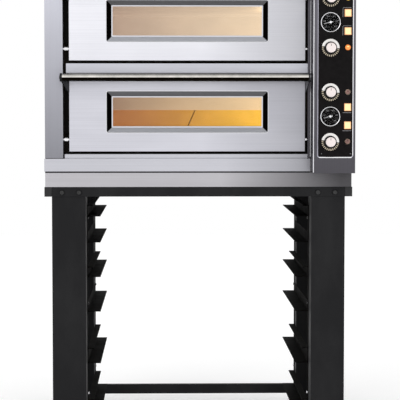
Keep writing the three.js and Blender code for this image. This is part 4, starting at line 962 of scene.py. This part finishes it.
for deck in DECKS:
    body = f"{deck}_door"
    bar, panel, pane = f"{deck}_handle_bar", f"{deck}_door_panel", f"{deck}_window_glass"
    bar_low, bar_high = low(bar), high(bar)
    bar_axis = middle(bar)
    bar_radius = (bar_high.z - bar_low.z) / 2

    # polished tube with black end caps
    dress(bar, steel_handle)
    bm = bmesh.new()
    for x, direction in ((bar_low.x, (-1, 0, 0)), (bar_high.x, (1, 0, 0))):
        add_lathe(bm, [(0, -0.002), (bar_radius + 0.0010, -0.002), (bar_radius + 0.0012, 0.0024),
                       (bar_radius * 0.8, 0.0042), (0, 0.0044)],
                  40, Vector((x, bar_axis.y, bar_axis.z)), direction)
    finish_object(f"{deck}_handle_end_caps", bm, body, black_plastic, 0, 40)

    # one screw through each bracket into the tube's end
    bm = bmesh.new()
    for x, direction in ((low(f"{deck}_handle_bracket_left").x, (-1, 0, 0)),
                         (high(f"{deck}_handle_bracket_right").x, (1, 0, 0))):
        screw(bm, (x, bar_axis.y, bar_axis.z), 0.0070, 0.0022, direction, 0.003)
    finish_object(f"{deck}_handle_screws", bm, body, bolt_black)

    # bright stop that frames the glass, and an inner pane behind it
    centre, half = middle(pane), (high(pane) - low(pane)) / 2
    outer = rounded_outline(centre.x, centre.z, 2 * half.x + 0.0006, 2 * half.z + 0.0006, 0.0040)
    inner = rounded_outline(centre.x, centre.z, 2 * half.x - 0.0090, 2 * half.z - 0.0090, 0.0012)
    bm = bmesh.new()
    add_frame(bm, outer, inner, low(pane).y - 0.0026, low(pane).y - 0.0003)
    finish_object(f"{deck}_window_stop", bm, body, stop_steel, 0.0005)
    rim_low, rim_high = low(f"{deck}_window_bezel"), high(f"{deck}_window_bezel")
    rim = (rim_low + rim_high) / 2
    width, height = rim_high.x - rim_low.x, rim_high.z - rim_low.z
    outer = rounded_outline(rim.x, rim.z, width + 0.0030, height + 0.0030, 0.0095)
    inner = rounded_outline(rim.x, rim.z, width - 0.0006, height - 0.0006, 0.0077)
    bm = bmesh.new()
    add_frame(bm, outer, inner, rim_low.y - 0.0009, rim_low.y + 0.0008)
    finish_object(f"{deck}_window_rim", bm, body, steel_bright, 0.0004)
    bm = bmesh.new()
    outline = rounded_outline(centre.x, centre.z, 2 * half.x - 0.0010, 2 * half.z - 0.0010, 0.0030)
    add_plate(bm, outline, high(panel).y - 0.0060, high(panel).y - 0.0030)
    finish_object(f"{deck}_inner_pane", bm, body, glass_pane)

    # hinge pins: polished, with a washer beside the door
    for side in SIDES:
        dress(f"{deck}_hinge_pin_{side}", steel_bright)
    bm = bmesh.new()
    for side, direction, x in (("left", (-1, 0, 0), low(panel).x), ("right", (1, 0, 0), high(panel).x)):
        pin = middle(f"{deck}_hinge_pin_{side}")
        add_ring(bm, [(0.0062, 0.0002), (0.0098, 0.0002), (0.0098, 0.0012), (0.0062, 0.0012)], 28,
                 Vector((x, pin.y, pin.z)), direction)
    finish_object(f"{deck}_hinge_washers", bm, body, steel_bright)

    # rows of screws on the inner face of the door
    bm = bmesh.new()
    for i in range(7):
        x = low(panel).x + 0.03 + i * (high(panel).x - low(panel).x - 0.06) / 6
        for z in (low(panel).z + 0.020, high(panel).z - 0.016):
            if abs(z - low(panel).z) > 0.03 or 0 < i < 6:
                screw(bm, (x, high(panel).y, z), 0.0036, 0.0013, REAR, 0.0015)
    finish_object(f"{deck}_door_liner_screws", bm, body, steel_bright)

# ---------------------------------------------------------------- baking chambers

LAMP_FROM_REAR = 0.40
BRICK_HEIGHT = 0.0655

for deck in DECKS:
    liner = f"{deck}_chamber_liner"
    stone_left, stone_right = f"{deck}_hearth_stone_left", f"{deck}_hearth_stone_right"
    floor_z = high(stone_left).z
    wall_left, wall_right = low(stone_left).x, high(stone_right).x
    rear_y = high(stone_left).y
    front_y = low(liner).y
    ceiling_z = high(f"{deck}_heating_element").z
    seam_x = (high(stone_left).x + low(stone_right).x) / 2

    # rear bricks that stand on the hearth and meet in a leaning joint
    if deck == "lower":
        bm = bmesh.new()
        base_z, top_z = floor_z + 0.0002, floor_z + BRICK_HEIGHT
        joint, lean, gap = seam_x + 0.011, 0.029, 0.0040
        for outline in (
            [(wall_left + 0.001, base_z), (joint, base_z), (joint + lean, top_z), (wall_left + 0.001, top_z)],
            [(joint + gap, base_z), (wall_right - 0.001, base_z), (wall_right - 0.001, top_z),
             (joint + lean + gap, top_z)],
        ):
            add_plate(bm, outline, rear_y - 0.024, rear_y - 0.001)
        finish_object(f"{deck}_rear_bricks", bm, "root", brick, 0.0012)
        bm = bmesh.new()
        add_plate(bm, [(joint - 0.001, base_z), (joint + gap + 0.001, base_z),
                       (joint + lean + gap + 0.001, top_z - 0.001), (joint + lean - 0.001, top_z - 0.001)],
                  rear_y - 0.0228, rear_y - 0.002)
        finish_object(f"{deck}_brick_joint", bm, "root", mortar)

    # guard plate below the heating element, folded up at its front edge
    element_z = low(f"{deck}_heating_element").z
    bm = bmesh.new()
    add_box(bm, (wall_left + 0.001, front_y + 0.030, element_z - 0.0030),
            (wall_right - 0.001, rear_y - 0.0005, element_z - 0.0020))
    add_box(bm, (wall_left + 0.001, front_y + 0.0290, element_z - 0.0030),
            (wall_right - 0.001, front_y + 0.0300, element_z + 0.0160))
    finish_object(f"{deck}_element_guard", bm, "root", guard[deck])

    # woven cord around the mouth: sides and top, let into the liner's front face
    bm = bmesh.new()
    reach, cord_radius = 0.011, 0.0024
    corners = [Vector((wall_left - reach, front_y + 0.0006, floor_z + 0.004)),
               Vector((wall_left - reach, front_y + 0.0006, ceiling_z + reach)),
               Vector((wall_right + reach, front_y + 0.0006, ceiling_z + reach)),
               Vector((wall_right + reach, front_y + 0.0006, floor_z + 0.004))]
    for first, second in zip(corners, corners[1:]):
        length = (second - first).length
        add_lathe(bm, [(0, -0.0018), (cord_radius * 0.8, -0.001), (cord_radius, 0.001),
                       (cord_radius, length - 0.001), (cord_radius * 0.8, length + 0.001),
                       (0, length + 0.0018)], 14, first, second - first)
    finish_object(f"{deck}_mouth_seal", bm, "root", seal_cord)

    # lamp in the right wall: flange, guard and dome
    lamp_at = Vector((wall_right + 0.0004, rear_y - LAMP_FROM_REAR, (floor_z + ceiling_z) / 2 - 0.01))
    bm = bmesh.new()
    add_ring(bm, [(0.020, 0), (0.031, 0), (0.031, 0.002), (0.027, 0.004), (0.020, 0.004)], 36,
             lamp_at, (-1, 0, 0))
    for i in range(3):
        start = 0.022
        add_box(bm, lamp_at + Vector((-0.0290, -start, -0.013 + i * 0.013 - 0.0009)),
                lamp_at + Vector((-0.0272, start, -0.013 + i * 0.013 + 0.0009)))
    for sign in (-1, 1):
        add_box(bm, lamp_at + Vector((-0.0290, sign * 0.022 - 0.0009, -0.016)),
                lamp_at + Vector((-0.0030, sign * 0.022 + 0.0009, 0.016)))
    finish_object(f"{deck}_lamp_guard", bm, "root", heater_metal)
    bm = bmesh.new()
    add_lathe(bm, [(0, 0.0005), (0.0195, 0.0005), (0.0195, 0.0100), (0.0165, 0.0185),
                   (0.0095, 0.0240), (0, 0.0256)], 36, lamp_at, (-1, 0, 0))
    finish_object(f"{deck}_lamp_dome", bm, "root", lamp_glass)

# ---------------------------------------------------------------- light, floor and camera

scene = bpy.context.scene
scene.view_settings.view_transform = "Standard"
scene.view_settings.look = "None"

world = bpy.data.worlds.new("studio") if not scene.world else scene.world
scene.world = world
world.use_nodes = True
sky = world.node_tree
sky.nodes.clear()
out = sky.nodes.new("ShaderNodeOutputWorld")
background = sky.nodes.new("ShaderNodeBackground")
background.inputs["Color"].default_value = (1.0, 1.0, 1.0, 1)
background.inputs["Strength"].default_value = 1.0
sky.links.new(background.outputs["Background"], out.inputs["Surface"])


def area_light(name, place, target, size, energy):
    light = bpy.data.lights.new(name, "AREA")
    light.shape = "RECTANGLE"
    light.size, light.size_y = size
    light.energy = energy
    obj = bpy.data.objects.new(name, light)
    obj.location = place
    obj.rotation_euler = (Vector(target) - Vector(place)).to_track_quat("-Z", "Y").to_euler()
    scene.collection.objects.link(obj)


KEY_WATTS, FILL_WATTS = 30, 10
area_light("key", (-2.6, -3.6, 3.4), (0, -0.3, 1.2), (2.4, 2.4), KEY_WATTS)
area_light("fill", (3.0, -3.2, 2.2), (0, -0.3, 1.1), (2.0, 2.6), FILL_WATTS)
# a small warm light in each chamber, as high as its rise above the middle of the pane
for deck, energy, rise in (("lower", 0.30, 0.02), ("upper", 0.25, -0.035)):
    pane = middle(f"{deck}_window_glass")
    light = bpy.data.lights.new(f"{deck}_chamber_light", "POINT")
    light.energy = energy
    light.color = (1.0, 0.74, 0.42)
    light.shadow_soft_size = 0.02
    obj = bpy.data.objects.new(light.name, light)
    obj.location = (high(f"{deck}_hearth_stone_right").x - 0.05, 0.12, pane.z + rise)
    scene.collection.objects.link(obj)

floor_material, tree, shader = new_material("studio_floor")
speckle = noise(tree, (1, 1, 1), 30.0, 4.0, 0.6)
tree.links.new(tinted(tree, speckle, (0.90, 0.90, 0.90), (0.94, 0.94, 0.94)), shader.inputs["Base Color"])
shader.inputs["Emission Color"].default_value = (1, 1, 1, 1)
shader.inputs["Emission Strength"].default_value = 0.12
shader.inputs["Roughness"].default_value = 0.9
bm = bmesh.new()
add_box(bm, (-9, -9, -0.02), (9, 9, -0.0005))
mesh = bpy.data.meshes.new("floor")
bm.to_mesh(mesh)
bm.free()
mesh.materials.append(floor_material)
floor = bpy.data.objects.new("floor", mesh)
scene.collection.objects.link(floor)

CAMERA_LENS = 143                        # millimetres on the default 36 mm sensor
CAMERA_AT = (-0.122, -6.1785, 1.249)
AIM_AT = Vector((0.0049, -0.3785, 0.9023))
camera = bpy.data.objects.new("camera", bpy.data.cameras.new("camera"))
camera.data.lens = CAMERA_LENS
camera.location = CAMERA_AT
camera.rotation_euler = (AIM_AT - camera.location).to_track_quat("-Z", "Y").to_euler()
scene.collection.objects.link(camera)
scene.camera = camera
